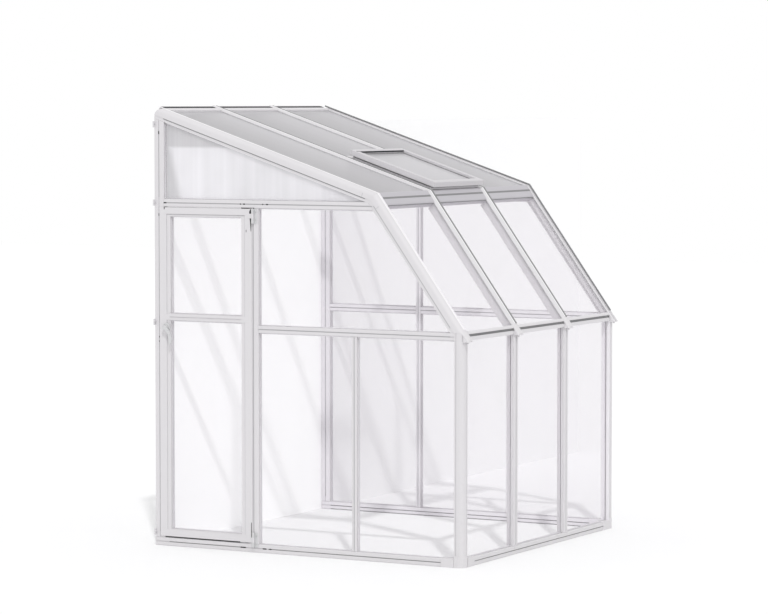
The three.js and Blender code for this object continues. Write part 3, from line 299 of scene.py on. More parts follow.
PAINTED_LIGHT_FACING = (-0.5, -0.9)
BARS_TONE = (0.675, 0.66, 0.678)
WHITE_BARS = resin("white resin bars", BARS_TONE)
WHITE_PAINTED_LIGHT_SIDE = resin("white resin, painted light side", BARS_TONE, inner=(0.84, 0.82, 0.85))
WHITE_DOOR = resin("white resin door", BARS_TONE, dust=0.08)
MOULDED = resin("moulded fittings", (0.60, 0.60, 0.61), roughness=0.36, relief=0.00004)
CAPS = resin("snap caps", (0.66, 0.66, 0.67), roughness=0.3, relief=0.00003)
# Painted shade: the bend beam is the same white resin, given a darker tone that stands in for its shade.
BEND_BEAM_PAINTED_SHADE = resin("bend beam", (0.50, 0.485, 0.515), roughness=0.6)
VENT_WHITE = resin("vent frame", (0.60, 0.585, 0.605), roughness=0.55)
PAINTED_HIGHLIGHT_WHITE = resin("crest painted highlight", (0.88, 0.87, 0.88), roughness=0.25, dust=0.02)
BEAD_WHITE = resin("white bead", (0.84, 0.82, 0.85), roughness=0.5, dust=0.05)
DARK_RUBBER = resin("dark gasket", (0.05, 0.05, 0.055), roughness=0.8, dust=0.2, shine=0.1)
GREY_RUBBER = resin("grey gasket", (0.25, 0.25, 0.255), roughness=0.7, dust=0.2, shine=0.2)
PALE_RUBBER = resin("pale gasket", (0.42, 0.42, 0.43), roughness=0.6, dust=0.15)
print("resin finishes made")

# %% [markdown]
# Light that scatters inside thin plastic leaves it again on the far side, so the room behind a pane stays
# bright. The finishes below get that by letting shadow and diffuse rays through more than camera rays:
# the alpha is scaled down for those two kinds of ray.

# %% Helper: a pane lets light through
def lit_through(tree, alpha, passed):
    ray = tree.nodes.new("ShaderNodeLightPath")
    light = maths(tree, "MAXIMUM", ray.outputs["Is Shadow Ray"], ray.outputs["Is Diffuse Ray"])
    return maths(tree, "MULTIPLY", alpha, maths(tree, "MULTIPLY_ADD", light, -passed, 1.0))


# %% [markdown]
# The clear panes are thin polycarbonate. Over their whole face lies a trace of haze, with faint marks
# where a cloth has wiped. The group makes both as one mask, and a roughness that follows the marks.

# %% Shared effect: haze on a pane
def haze_group():
    tree, given, out = new_group(
        "pane haze",
        [("Haze", FLOAT, 0.06), ("Marks", FLOAT, 0.03)],
        [("Mask", FLOAT), ("Roughness", FLOAT)],
    )
    place = place_in(tree)
    broad = noise(tree, place, 1.6)
    wiped = noise(tree, place, 6.0, stretch=(1.0, 1.0, 0.2), detail=4.0)
    marks = maths(tree, "MULTIPLY", maths(tree, "MULTIPLY", broad, wiped), given["Marks"])
    feed(
        tree, out,
        Mask=maths(tree, "ADD", given["Haze"], marks),
        Roughness=maths(tree, "MULTIPLY_ADD", wiped, 0.08, 0.04),
    )
    return tree


PANE_HAZE = haze_group()
print("group:", PANE_HAZE.name)

# %% [markdown]
# What one sees in a pane is the scene behind it, a little cooler and duller, and a soft glare where it is
# seen edge on. An alpha value does that with little noise: it is low over the pane and rises with the
# Fresnel angle.

# %% Finish: clear panes
PLASTIC_IOR = 1.45
PANE_PASSES, SHEET_PASSES = 0.95, 0.92


def clear_pane(name, tone, haze, glare):
    made, tree, shader = new_material(name, 0.06)
    hazed = node(tree, "ShaderNodeGroup", node_tree=PANE_HAZE, Haze=haze).outputs
    edge_on = node(tree, "ShaderNodeFresnel", IOR=PLASTIC_IOR).outputs[0]
    alpha = maths(tree, "MULTIPLY_ADD", edge_on, glare, hazed["Mask"])
    feed(tree, shader, Base_Color=(*tone, 1), Roughness=hazed["Roughness"])
    feed(tree, shader, Alpha=lit_through(tree, alpha, PANE_PASSES))
    made.surface_render_method = "BLENDED"
    return made


CLEAR = clear_pane("clear pane", (0.50, 0.42, 0.53), haze=0.05, glare=0.02)
print("clear panes made")

# %% [markdown]
# A twin-wall sheet is two thin skins joined by webs about a centimetre apart. From outside the webs show
# as fine parallel lines, and light that is scattered inside turns the sheet a milky grey. The lines
# follow the fall of the sheet, so they are bands of a wave across it: over x on the roof, over y on the
# gables. Broader streaks come from a noise that only changes across the webs.

# %% Shared effect: the webs inside a twin-wall sheet
WEB_PITCH = 0.0105
WEB_SHOWS = 0.22


def twin_wall_group():
    tree, given, out = new_group(
        "twin wall",
        [("Position", FLOAT, 0.0), ("Dark Tone", COLOR, (0.5, 0.5, 0.52, 1)),
         ("Light Tone", COLOR, (0.7, 0.7, 0.72, 1)), ("Light", FLOAT, 0.5), ("Streaks", FLOAT, 0.12)],
        [("Color", COLOR), ("Roughness", FLOAT)],
    )
    turn = maths(tree, "MULTIPLY", given["Position"], 2 * math.pi / WEB_PITCH)
    web = ramp(tree, maths(tree, "SINE", turn), 0.75, 1.0)
    across = node(tree, "ShaderNodeCombineXYZ", X=given["Position"]).outputs[0]
    broad = noise(tree, across, 16.0, detail=6.0)
    cloud = noise(tree, place_in(tree), 2.2)
    swing = maths(tree, "SUBTRACT", maths(tree, "ADD", broad, cloud), 1.0)
    level = maths(tree, "MULTIPLY_ADD", swing, given["Streaks"], 1.0)
    # The Light mask carries the painted light and shade of a sheet: it blends from the dark tone to the light
    # one.
    toned = scaled(tree, blend_colors(tree, given["Light"], given["Dark Tone"], given["Light Tone"]), level)
    feed(
        tree, out,
        Color=blend_colors(tree, maths(tree, "MULTIPLY", web, WEB_SHOWS), toned, given["Light Tone"]),
        Roughness=maths(tree, "MULTIPLY_ADD", cloud, 0.12, 0.3),
    )
    return tree


TWIN_WALL = twin_wall_group()
print("web pitch %.1f mm" % (WEB_PITCH / MM))

# %% [markdown]
# The roof sheets are painted with light and shade: each is painted dullest next to the rafter on its
# left, and brighter towards the rafter on its right and under the ridge plate. The gable sheets are
# bright, with a painted shadow: a darker band along the wall post and under the top of the rafter. Both
# are masks made of smooth ramps over the place on the sheet.

# %% Finish: twin-wall sheets
def twin_wall(name, axis, dark, light, painted_light_mask, alpha, streaks):
    made, tree, shader = new_material(name, 0.35)
    place = separate(tree, place_in(tree))
    sheet = node(
        tree, "ShaderNodeGroup", node_tree=TWIN_WALL, Position=place[axis], Dark_Tone=(*dark, 1),
        Light_Tone=(*light, 1), Light=painted_light_mask(tree, place), Streaks=streaks,
    ).outputs
    body = maths(tree, "MULTIPLY_ADD", sheet["Roughness"], 0.1, alpha)
    feed(tree, shader, Specular_IOR_Level=0.2, Base_Color=sheet["Color"], Roughness=sheet["Roughness"])
    feed(tree, shader, Alpha=lit_through(tree, body, SHEET_PASSES))
    made.surface_render_method = "BLENDED"
    return made


LIT_UNDER_RIDGE = (190, 90)


def roof_painted_light_mask(left, right):
    def mask(tree, place):
        # Painted light: brighter towards the rafter on the right and under the ridge plate.
        across = ramp(tree, place["X"], wall(left, 0, 0).x, wall(right, 0, 0).x)
        lit_under_ridge = ramp(tree, place["Z"], *[on_roof(0, s, 0).z for s in LIT_UNDER_RIDGE], smooth=True)
        brighter = maths(tree, "POWER", across, 1.6)
        return maths(tree, "MAXIMUM", brighter, maths(tree, "MULTIPLY", lit_under_ridge, 0.9))
    return mask


SHADE_ENDS, SHADE_TOP, SHADE_SOFT = (64, 124), 2241, 22
SHADE_LEAN = 0.26


def gable_painted_shadow_mask(tree, place):
    # Painted shadow: darker along the wall post, leaning out further lower down, and under the top of the
    # rafter.
    drop = maths(tree, "MAXIMUM", maths(tree, "SUBTRACT", SHADE_TOP * MM, place["Z"]), 0.0)
    slanted = maths(tree, "MULTIPLY_ADD", drop, SHADE_LEAN, place["Y"])
    from_post = ramp(tree, slanted, *[wall(0, d, 0).y for d in SHADE_ENDS], smooth=True)
    under_top = ramp(tree, place["Z"], (SHADE_TOP + SHADE_SOFT) * MM, SHADE_TOP * MM, smooth=True)
    return maths(tree, "MINIMUM", from_post, under_top)


ROOF_PAINTED_SHADE, ROOF_PAINTED_LIGHT = (0.385, 0.375, 0.39), (0.57, 0.56, 0.58)
RAFTERS = (-930, -320, 320, 930)
ROOF_SHEETS = {
    "roof_sheet_%d" % (i + 1): twin_wall(
        "roof sheet %d" % (i + 1), "X", ROOF_PAINTED_SHADE, ROOF_PAINTED_LIGHT, roof_painted_light_mask(left, right), 0.84, 0.10
    )
    for i, (left, right) in enumerate(zip(RAFTERS, RAFTERS[1:]))
}
VENT_SHEET = twin_wall(
    "vent sheet", "X", (0.52, 0.51, 0.53), (0.60, 0.59, 0.61), roof_painted_light_mask(-300, 300), 0.84, 0.08
)
GABLE_SHEET = twin_wall("gable sheet", "Y", (0.52, 0.51, 0.53), (0.74, 0.73, 0.76), gable_painted_shadow_mask, 0.6, 0.34)
print("twin-wall finishes:", len(ROOF_SHEETS) + 2)

# %% [markdown]
# The screws, the stay of the vent and the latch tongue are zinc-plated steel. Plating on pressed steel is
# a little uneven: brighter and duller patches, and fine scratches. A noise stretched along z gives the
# scratches, and a coarse one the patches.

# %% Finish: zinc-plated steel
def plated_steel(name, tone):
    made, tree, shader = new_material(name, 0.35, metallic=1.0)
    place = place_in(tree)
    patches = noise(tree, place, 60.0)
    scratches = noise(tree, place, 300.0, stretch=(1.0, 1.0, 0.08))
    dull = tuple(0.82 * c for c in tone)
    feed(
        tree, shader,
        Base_Color=blend_colors(tree, patches, dull, tone),
        Roughness=maths(tree, "MULTIPLY_ADD", scratches, 0.25, 0.22),
    )
    return made


STEEL = plated_steel("plated steel", (0.66, 0.66, 0.67))
print("steel made")

# %% [markdown]
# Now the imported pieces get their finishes. The name of a node says what it is made of, so a short list of
# words covers all sixty: the first word that is in the name decides. Nothing else about them is touched.

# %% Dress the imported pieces
FINISH_BY_WORD = {
    "vent_stay": STEEL, "latch_tongue": STEEL, **ROOF_SHEETS, "vent_sheet": VENT_SHEET,
    "gable_sheet": GABLE_SHEET, "pane": CLEAR, "door_hinge": MOULDED, "handle_": MOULDED,
    "door_frame": WHITE_DOOR, "bend_beam": BEND_BEAM_PAINTED_SHADE, "vent_frame": VENT_WHITE, "right": WHITE_PAINTED_LIGHT_SIDE,
}
for name, packed in frame["nodes"].items():
    finish = next((made for word, made in FINISH_BY_WORD.items() if word in name), WHITE_BARS)
    packed.data.materials.clear()
    packed.data.materials.append(finish)
print("dressed", len(frame["nodes"]), "nodes")

# %% [markdown]
# Most of what is added is straight: a seal, a gasket, a strip. Each one is an outline that runs along a
# line, so one helper lofts a closed solid through rings of points, and another runs an outline along one
# direction of a place function. An outline is a crowned rectangle, because an extruded gasket is never
# quite flat. A list of such runs makes one piece.

# %% Helpers for straight pieces
SHOULDER_RISE = 0.55


def loft(shape, rings):
    rows = [[shape.verts.new(point) for point in ring] for ring in rings]
    count = len(rows[0])
    for first, second in zip(rows, rows[1:]):
        for i in range(count):
            j = (i + 1) % count
            shape.faces.new((first[i], first[j], second[j], second[i]))
    shape.faces.new(rows[0][::-1])
    shape.faces.new(rows[-1])


def crowned(across, deep, shoulder=0.2):
    """An outline from deep[0], its flat back, to deep[1], its face with two small shoulders."""
    (left, right), (back, face) = across, deep
    inset = shoulder * (right - left)
    side = back + SHOULDER_RISE * (face - back)
    return [
        (left, back), (right, back), (right, side), (right - inset, face), (left + inset, face), (left, side),
    ]


def turned(outline):
    return [(v, u) for u, v in outline]


def run(shape, place, axis, ends, outline):
    """Lofts the outline along one axis of place; its pairs are the other two coordinates, in order."""
    loft(shape, [[place(*p[:axis], at, *p[axis:]) for p in outline] for at in ends])


def piece(name, shape, finish, body="greenhouse"):
    bmesh.ops.recalc_face_normals(shape, faces=shape.faces)
    mesh = bpy.data.meshes.new(name)
    shape.to_mesh(mesh)
    shape.free()
    made = bpy.data.objects.new(name, mesh)
    bpy.context.scene.collection.objects.link(made)
    mesh.materials.append(finish)
    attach(made, body)
    print("%s: %d faces on %s" % (name, len(mesh.polygons), body))
    return made


def strips(name, finish, rows, body="greenhouse"):
    shape = bmesh.new()
    for row in rows:
        run(shape, *row)
    return piece(name, shape, finish, body)


print("%d bays between %d rafters" % (len(RAFTERS) - 1, len(RAFTERS)))

# %% [markdown]
# Each rafter clamps the roof sheets under a flange, and a grey rubber seal closes the groove on top of
# it. The seal runs from the ridge over the bend to the eave, and is mitred at the bend. The near gable
# rafter has a white one. The far one carries its seal on the crest instead, as a raised round bead, and
# its grey, with painted shade, makes the line that this rafter shows against the sky. The grey of the
# other seals is partly painted shade too, for the shadow beside each crest.

# %% Rafter seals
def along_rafters(name, finish, outlines, roof_from=6, slope_to=900):
    shape = bmesh.new()
    for outline in outlines:
        loft(shape, [
            [on_roof(x, roof_from, b) for x, b in outline],
            [at_bend(x, b) for x, b in outline],
            [on_slope(x, slope_to, b) for x, b in outline],
        ])
    piece(name, shape, finish)


def round_outline(x, b, radius, sides=8):
    turns = [2 * math.pi * i / sides for i in range(sides)]
    return [(x + radius * math.cos(t), b + radius * math.sin(t)) for t in turns]


def seal_outline(rafter, face):
    return crowned((rafter + SEAL_FROM, rafter + SEAL_TO), (SEAL_BACK, face))


SEAL_FROM, SEAL_TO, SEAL_BACK = 4.5, 26, 0.5
NEAR, *MIDDLE, FAR = RAFTERS
# Partly painted shade: the grey also stands in for the shadow on the far side of each crest.
along_rafters("rafter_seals", GREY_RUBBER, [seal_outline(rafter, -4.8) for rafter in MIDDLE])
along_rafters("near_rafter_seal", BEAD_WHITE, [seal_outline(NEAR, -1.4)])
along_rafters("far_rafter_bead", GREY_RUBBER, [round_outline(FAR - 3, -6.6, 4.5)], roof_from=26)

# %% [markdown]
# A white strip on the crest of every rafter is a painted highlight: it stands in for the bright line of
# light that the crest catches. On the rolled side of the flange a fine pale cord lies in the die line,
# halfway down the roll.

# %% Painted highlight strips on the crests, and roll cords
highlight_crests = [crowned((rafter - 5.5, rafter + 3.6), (-3.2, -4.7)) for rafter in (NEAR, *MIDDLE)]
highlight_crests.append(crowned((FAR - 3.6, FAR + 5.5), (-3.2, -4.4)))
along_rafters("painted_highlight_crests", PAINTED_HIGHLIGHT_WHITE, highlight_crests, roof_from=12, slope_to=898)

ROLL_CORD = [(-20.5, 4.4), (-18, 4.4), (-18, 0.6), (-20.5, 1.8)]
cords = [[(rafter + x, b) for x, b in ROLL_CORD] for rafter in MIDDLE]
along_rafters("roll_cords", PALE_RUBBER, cords, roof_from=80)

# %% [markdown]
# Where a rafter's flange meets the sheet there is a thin wiper, and both gable rafters have a shadow seal
# under the step on their sides. Both are small rods tucked into a corner, so that only an edge shows.

# %% Wipers along the flanges, and the seals on the sides of the gable rafters
FLANGE = 30
wipers = [
    crowned((rafter - FLANGE - 2.4, rafter - FLANGE - 0.2), (10.1, 7.4)) for rafter in (*MIDDLE, FAR)
]
along_rafters("flange_wipers", PALE_RUBBER, wipers, roof_from=80)

SIDE_STEP, LIP, SIDE_OUT = 45.2, 957.2, 959.6
SIDE_SEAL = [(LIP, SIDE_STEP), (LIP, SIDE_STEP + 5), (SIDE_OUT, SIDE_STEP + 4), (SIDE_OUT, SIDE_STEP)]
side_seals = [[(side * x, b) for x, b in SIDE_SEAL] for side in (-1, 1)]
strips("rafter_side_seals", GREY_RUBBER, [(on_roof, 1, (80, ROOF_RUN - 50), seal) for seal in side_seals])
strips("slope_side_seals", PALE_RUBBER, [(on_slope, 1, (50, 850), seal) for seal in side_seals])

# %% [markdown]
# Four more seals run along the wall: one on the ridge plate, two on the bend beam just below the bend,
# and one in the groove of the eave beam. A rafter crosses them, so each is cut into one strip for each
# bay.

# %% Seals across the bays
CLEAR_OF_COVER = 32
BAYS = [(a + CLEAR_OF_COVER, b - CLEAR_OF_COVER) for a, b in zip(RAFTERS, RAFTERS[1:])]

# Partly painted shade: besides the rubber, these dark and grey strips stand in for the shadow gaps at the
# ridge plate, under the bend beam's lip and in the eave groove.
RIDGE_SEAL = crowned((10, 36), (0.4, -1.0))
BEND_SEALS = crowned((27, 39), (0.4, -1.2)), crowned((76.5, 81), (10.1, 6.4))
EAVE_GASKET = turned(crowned((1247, 1259), (1952.2, 1955.5)))
strips("ridge_seals", DARK_RUBBER, [(on_roof, 0, bay, RIDGE_SEAL) for bay in BAYS])
strips("bend_seals", GREY_RUBBER, [(on_slope, 0, bay, seal) for bay in BAYS for seal in BEND_SEALS])
strips("eave_gaskets", GREY_RUBBER, [(wall, 0, bay, EAVE_GASKET) for bay in BAYS])

# %% [markdown]
# Every bar has a narrow groove down the middle of its faces, and a pale gasket cord lies in it, a little
# below the surface. In the base rails and one front post that cord is darker. A pale row says which gable,
# upright or level, where the cord lies, and from where to where it runs, and is laid on the outer and the
# inner skin. A dark row is level, and names its one skin and its width.

# %% Gasket cords in the grooves
OUTER, INNER = 960, 918
CORD_W = 4.6
CORD_DEEP, CORD_SUNK = 3.9, 0.7


def gable_cord(shape, side, skin, upright, at, start, end, width=CORD_W):
    inwards = 1 if skin == OUTER else -1
    deep = (side * (skin - inwards * CORD_DEEP), side * (skin - inwards * CORD_SUNK))
    across = (at - width / 2, at + width / 2)
    run(shape, wall, 2 if upright else 1, (start, end), turned(crowned(across, deep)))


def front_cord(shape, upright, at, start, end, width=CORD_W):
    across, deep = (at - width / 2, at + width / 2), (DEPTH - CORD_DEEP, DEPTH - CORD_SUNK)
    outline = crowned(across, deep)
    run(shape, wall, 2 if upright else 0, (start, end), outline if upright else turned(outline))


FINE_W = 2.2
CORNER_D, CORNER_X = 1916.2, 916.2
FRONT_POSTS, FRONT_POST_RUN = (-320, 320), (50, 1223)
HEADER_MID, RAIL_MID, BASE_MID = 1940.5, 1247, 23.5
WALL_POST_MID, DOOR_POST_MID = 31, 649
PALE_CORDS = [
    # side, upright, at, from, to
    (-1, True, WALL_POST_MID, 78, 1873), (-1, True, WALL_POST_MID, 1972, 2340),
    (-1, True, DOOR_POST_MID, 50, 1915), (-1, True, 1290, 50, 1223),
    (-1, False, HEADER_MID, 66, 1400), (-1, False, RAIL_MID, 684, 1880),
    (1, True, WALL_POST_MID, 78, 2340), (1, True, 678, 50, 1915), (1, True, 1290, 50, 1223),
    (1, False, HEADER_MID, 66, 1400), (1, False, RAIL_MID, 66, 660), (1, False, RAIL_MID, 696, 1880),
]
shape = bmesh.new()
for side, upright, at, start, end in PALE_CORDS:
    for skin in (OUTER, INNER):
        gable_cord(shape, side, skin, upright, at, start, end)
for side in (-1, 1):
    gable_cord(shape, side, OUTER, True, CORNER_D, 70, 1200, width=FINE_W)
    front_cord(shape, True, side * CORNER_X, 70, 1200, width=FINE_W)
front_cord(shape, True, FRONT_POSTS[1], *FRONT_POST_RUN)
piece("pale_cords", shape, PALE_RUBBER)

DARK_CORDS = [
    # side, skin, at, from, to, width
    (-1, OUTER, BASE_MID, 92, 558, CORD_W), (-1, OUTER, BASE_MID, 742, 1876, CORD_W),
    (1, OUTER, BASE_MID, 20, 1876, CORD_W), (1, INNER, BASE_MID, 66, 1876, CORD_W),
    (1, INNER, RAIL_MID + 8, 938, 1105, 3),
]
# Painted shadow: a dark strip at the foot of the far base rail's inner face, where it meets the floor.
FOOT_CONTACT_SHADOW = [(915.4, 0.4), (917.8, 0.4), (917.8, 4.2), (915.4, 3.4)]
shape = bmesh.new()
for side, skin, at, start, end, width in DARK_CORDS:
    gable_cord(shape, side, skin, False, at, start, end, width)
front_cord(shape, False, BASE_MID, -876, 876)
front_cord(shape, True, FRONT_POSTS[0], *FRONT_POST_RUN)
run(shape, wall, 1, (70, 1870), FOOT_CONTACT_SHADOW)
piece("dark_cords", shape, GREY_RUBBER)

# %% [markdown]
# Where two bars are joined, a steel key is pushed through a slot beside the joint, and the slots stay
# open. Each is drawn as a short black dash of painted shade. There are two on each side of the door post,
# above and below, and single ones on the wall post.

# %% Connector slots
# Painted shade: this black stands in for the shade inside the open slots, and in the gaps round the door.
PAINTED_SHADE_BLACK = resin("slot", (0.012, 0.012, 0.014), roughness=0.8, dust=0.05)
SLOTS = [
    # upright, at, from, to
    (False, HEADER_MID, 563, 570), (False, HEADER_MID, 585, 596),
    (False, HEADER_MID, 708, 714), (False, HEADER_MID, 733, 745), (False, HEADER_MID, 62.6, 80),
    (False, BASE_MID, 562, 594), (False, BASE_MID, 706, 729), (False, BASE_MID, 749, 762),
    (True, WALL_POST_MID, 2325, 2342), (True, WALL_POST_MID, 1866, 1880),
    (True, WALL_POST_MID, 1180, 1187), (True, WALL_POST_MID, 1155, 1162),
]
SLOT_W = 8
shape = bmesh.new()
for side in (-1, 1):
    deep = (side * (OUTER - CORD_DEEP), side * (OUTER + 0.5))
    for upright, at, start, end in SLOTS:
        across = (at - SLOT_W / 2, at + SLOT_W / 2)
        run(shape, wall, 2 if upright else 1, (start, end), turned(crowned(across, deep, shoulder=0.1)))
piece("connector_slots", shape, PAINTED_SHADE_BLACK)

# %% [markdown]
# The door leaf does not fit its opening perfectly: it hangs a little low on the hinge side, so a dark gap
# shows above it, and a wedge of shadow beside the upper hinge. A brush closes the gap under the leaf. The
# wedge and the line along the lower hinge are painted shadow: black strips on the leaf, which turn with
# it. The black strip above the leaf is painted shade of the gap, and stays with the frame.

# %% Painted shadows and the brush round the door
LEAF_FACE = (-965.2, -966.1)


def leaf_shadow_wedge(shape, top, foot):
    """A strip of painted shadow on the face of the leaf; top and foot are (z, from d, to d)."""
    rings = []
    for z, start, end in (top, foot):
        corners = [(LEAF_FACE[0], start), (LEAF_FACE[0], end), (LEAF_FACE[1], end), (LEAF_FACE[1], start)]
        rings.append([wall(x, d, z) for x, d in corners])
    loft(shape, rings)


SHADOW_WEDGES = [
    ((1899, 627, 641), (1790, 637, 639.2)), ((1913, 634, 641.6), (1899, 627, 641)),
    ((166, 634.5, 638), (76, 635, 639)), ((1914.6, 66, 71.5), (1904, 67, 71)),
    ((1799, 605, 608), (1785, 605, 608)),
]
shape = bmesh.new()
for top, foot in SHADOW_WEDGES:
    leaf_shadow_wedge(shape, top, foot)
piece("door_painted_shadows", shape, PAINTED_SHADE_BLACK, "door")

HEAD_GAP_SHADE = turned(crowned((1916, 1921.5), (-958, -960.5)))
strips("door_head_painted_shade", PAINTED_SHADE_BLACK, [(wall, 1, (572, 656), HEAD_GAP_SHADE)])

BRUSH_BACK = turned(crowned((48.5, 56.4), (-941, -955)))
TUFT = [(-955, 48.2), (-955, 55.5), (-956.2, 55), (-956.2, 48.2)]
TUFT_WIDTH, TUFT_PITCH = 2.6, 4
tufts = [(wall, 1, (d, d + TUFT_WIDTH), TUFT) for d in range(72, 548, TUFT_PITCH)]
strips("door_brush", DARK_RUBBER, [(wall, 1, (70, 548), BRUSH_BACK), *tufts], "door")

# %% [markdown]
# Small things that repeat or follow a path are grown by two Geometry Nodes trees. The first turns the
# edges of a mesh into a round bead of a given radius. The second sets a pan-head screw on every point,
# turned to face the way the point says. Each tree is evaluated once for a piece, and what it grows
# becomes a plain mesh.

# %% Geometry Nodes: helpers
WHOLE, MATERIAL = "NodeSocketInt", "NodeSocketMaterial"


def new_tree(name, inputs):
    tree = bpy.data.node_groups.new(name, "GeometryNodeTree")
    tree.interface.new_socket("Geometry", in_out="OUTPUT", socket_type="NodeSocketGeometry")
    tree.interface.new_socket("Geometry", in_out="INPUT", socket_type="NodeSocketGeometry")
    for label, kind in inputs:
        tree.interface.new_socket(label, in_out="INPUT", socket_type=kind)
    return tree, tree.nodes.new("NodeGroupInput").outputs, tree.nodes.new("NodeGroupOutput")


def close_tree(tree, given, out, geometry):
    realized = node(tree, "GeometryNodeRealizeInstances", Geometry=geometry).outputs[0]
    finished = node(tree, "GeometryNodeSetMaterial", Geometry=realized, Material=given["Finish"])
    feed(tree, out, Geometry=finished.outputs[0])
    return tree


def grown(name, tree, points, edges, values, body="greenhouse", facings=None):
    mesh = bpy.data.meshes.new(name + "_path")
    mesh.from_pydata(points, edges, [])
    if facings:
        facing = mesh.attributes.new("facing", "FLOAT_VECTOR", "POINT")
        facing.data.foreach_set("vector", [c for f in facings for c in f])
    source = bpy.data.objects.new(name + "_path", mesh)
    bpy.context.scene.collection.objects.link(source)
    modifier = source.modifiers.new("grow", "NODES")
    modifier.node_group = tree
    for item in tree.interface.items_tree:
        if item.in_out == "INPUT" and item.name in values:
            modifier[item.identifier] = values[item.name]
    graph = bpy.context.evaluated_depsgraph_get()
    result = bpy.data.meshes.new_from_object(source.evaluated_get(graph))
    bpy.data.objects.remove(source)
    shape = bmesh.new()
    shape.from_mesh(result)
    bmesh.ops.remove_doubles(shape, verts=shape.verts, dist=1e-6)
    return piece(name, shape, values["Finish"], body)


print("a tree can be grown into a piece")

# %% [markdown]
# The bead tree turns the edges into curves and sweeps a circle along them. The number of sides of that
# circle is small, because a bead is only a few millimetres thick.

# %% Geometry Nodes: bead along edges
def bead_tree():
    tree, given, out = new_tree("bead", [("Radius", FLOAT), ("Sides", WHOLE), ("Finish", MATERIAL)])
    path = node(tree, "GeometryNodeMeshToCurve", Mesh=given["Geometry"]).outputs[0]
    ring = node(tree, "GeometryNodeCurvePrimitiveCircle", Resolution=given["Sides"], Radius=given["Radius"])
    swept = node(
        tree, "GeometryNodeCurveToMesh", Fill_Caps=True, Curve=path, Profile_Curve=ring.outputs[0]
    )
    return close_tree(tree, given, out, swept.outputs[0])


BEAD = bead_tree()
print("tree:", BEAD.name)

# %% [markdown]
# A pane is held by a bead on its outside and another on its inside. A loop lists the corners of one
# pane's clear opening, and the same corners are used on both sides of the glass, a bead's radius away
# from it.

# %% Beads round the panes
BEAD_R = 2.6


def bead_loops(name, loops, finish, body="greenhouse", radius=BEAD_R):
    points, edges = [], []
    for loop in loops:
        first = len(points)
        points += loop
        edges += [(first + i, first + (i + 1) % len(loop)) for i in range(len(loop))]
    values = {"Radius": radius * MM, "Sides": 6, "Finish": finish}
    return grown(name, BEAD, points, edges, values, body)


def rectangle(a0, a1, b0, b1, inset=BEAD_R):
    a0, a1, b0, b1 = a0 + inset, a1 - inset, b0 + inset, b1 - inset
    return [(a0, b0), (a1, b0), (a1, b1), (a0, b1)]


BAR_TOP, RAIL_LOW, RAIL_TOP, HEADER_LOW = 47, 1226, 1268.1, 1918
GABLE_LOOPS = {
    -1: [rectangle(680, 1275, BAR_TOP, RAIL_LOW), rectangle(1305, 1906, BAR_TOP, RAIL_LOW),
         [(682.6, 1270.7), (1875, 1270.7), (1403, 1915.4), (682.6, 1915.4)]],
    1: [rectangle(62, 663, BAR_TOP, RAIL_LOW), rectangle(62, 663, RAIL_TOP, HEADER_LOW),
        rectangle(693, 1275, BAR_TOP, RAIL_LOW), rectangle(1305, 1906, BAR_TOP, RAIL_LOW),
        [(695.6, 1270.7), (1875, 1270.7), (1403, 1915.4), (695.6, 1915.4)]],
}
SHEET_LOOP = [(64.6, 1966), (1350, 1966), (64.6, 2390)]
PANE_OUT, PANE_IN = 941, 937
SHEET_OUT, SHEET_IN = 944, 934
loops = []
for side, corner_lists in GABLE_LOOPS.items():
    for corners in corner_lists:
        for x in (PANE_OUT + BEAD_R, PANE_IN - BEAD_R):
            loops.append([wall(side * x, d, z) for d, z in corners])
    for x in (SHEET_OUT + BEAD_R, SHEET_IN - BEAD_R):
        loops.append([wall(side * x, d, z) for d, z in SHEET_LOOP])
for a, b in zip((-906, -297.5, 342.5), (-342.5, 297.5, 906)):
    for d in (1938 + BEAD_R, 1934 - BEAD_R):
        loops.append([wall(x, d, z) for x, z in rectangle(a, b, BAR_TOP, RAIL_LOW)])
bead_loops("pane_beads", loops, BEAD_WHITE)

DOOR_PANES = [(99, 1277.5), (1318.5, 1864)]
loops = []
for foot, head in DOOR_PANES:
    for x in (-943.65 - BEAD_R, -939.65 + BEAD_R):
        loops.append([wall(x, d, z) for d, z in rectangle(105, 573, foot, head)])
bead_loops("door_pane_beads", loops, BEAD_WHITE, "door")

# %% [markdown]
# The door has two more lines of rubber. Round each pane, where the flat face of the leaf steps down to
# the glazing bead, a thin cord marks the step. Behind the flange of the leaf a soft weather strip meets
# the posts.

# %% Cords of the door leaf
STEP_R = 1.5
loops = []
for foot, head in DOOR_PANES:
    step = rectangle(81, 597, foot - 14, head + 14, inset=0.4 + STEP_R)
    loops.append([wall(-962.6, d, z) for d, z in step])
bead_loops("door_step_cords", loops, PALE_RUBBER, "door", STEP_R)

STRIP_R = 1.7
strip = [wall(-958.3, d, z) for d, z in ((64.2, 58), (64.2, 1913), (615.8, 1913), (615.8, 58))]
values = {"Radius": STRIP_R * MM, "Sides": 8, "Finish": DARK_RUBBER}
grown("door_weather_strip", BEAD, strip, [(0, 1), (2, 3)], values, "door")

# %% [markdown]
# The vent's frame stands on a ring that is set in from its edge. A weather strip runs round the foot of
# that ring, grey at the sides and dark in front, which is partly painted shade of the recess under the
# frame. A white skirt over its sides is painted light on the shaded ring. A thin cord lies in the corner
# between the frame and its sheet, and a dark lip along its upper bar is painted shade of that bar's inner
# face. All of them move with the vent.

# %% Seals of the vent
VENT_X, VENT_S = 300, (932, 1501.1)
RING_IN, BAR_IN = 20, 36
ring_x = VENT_X - RING_IN
ring_s = (VENT_S[0] + RING_IN, VENT_S[1] - RING_IN)
STRIP_B, SKIRT_B = (-15.5, -11), (-11, -1)
STRIP_T, SKIRT_T = 2.6, 4.1


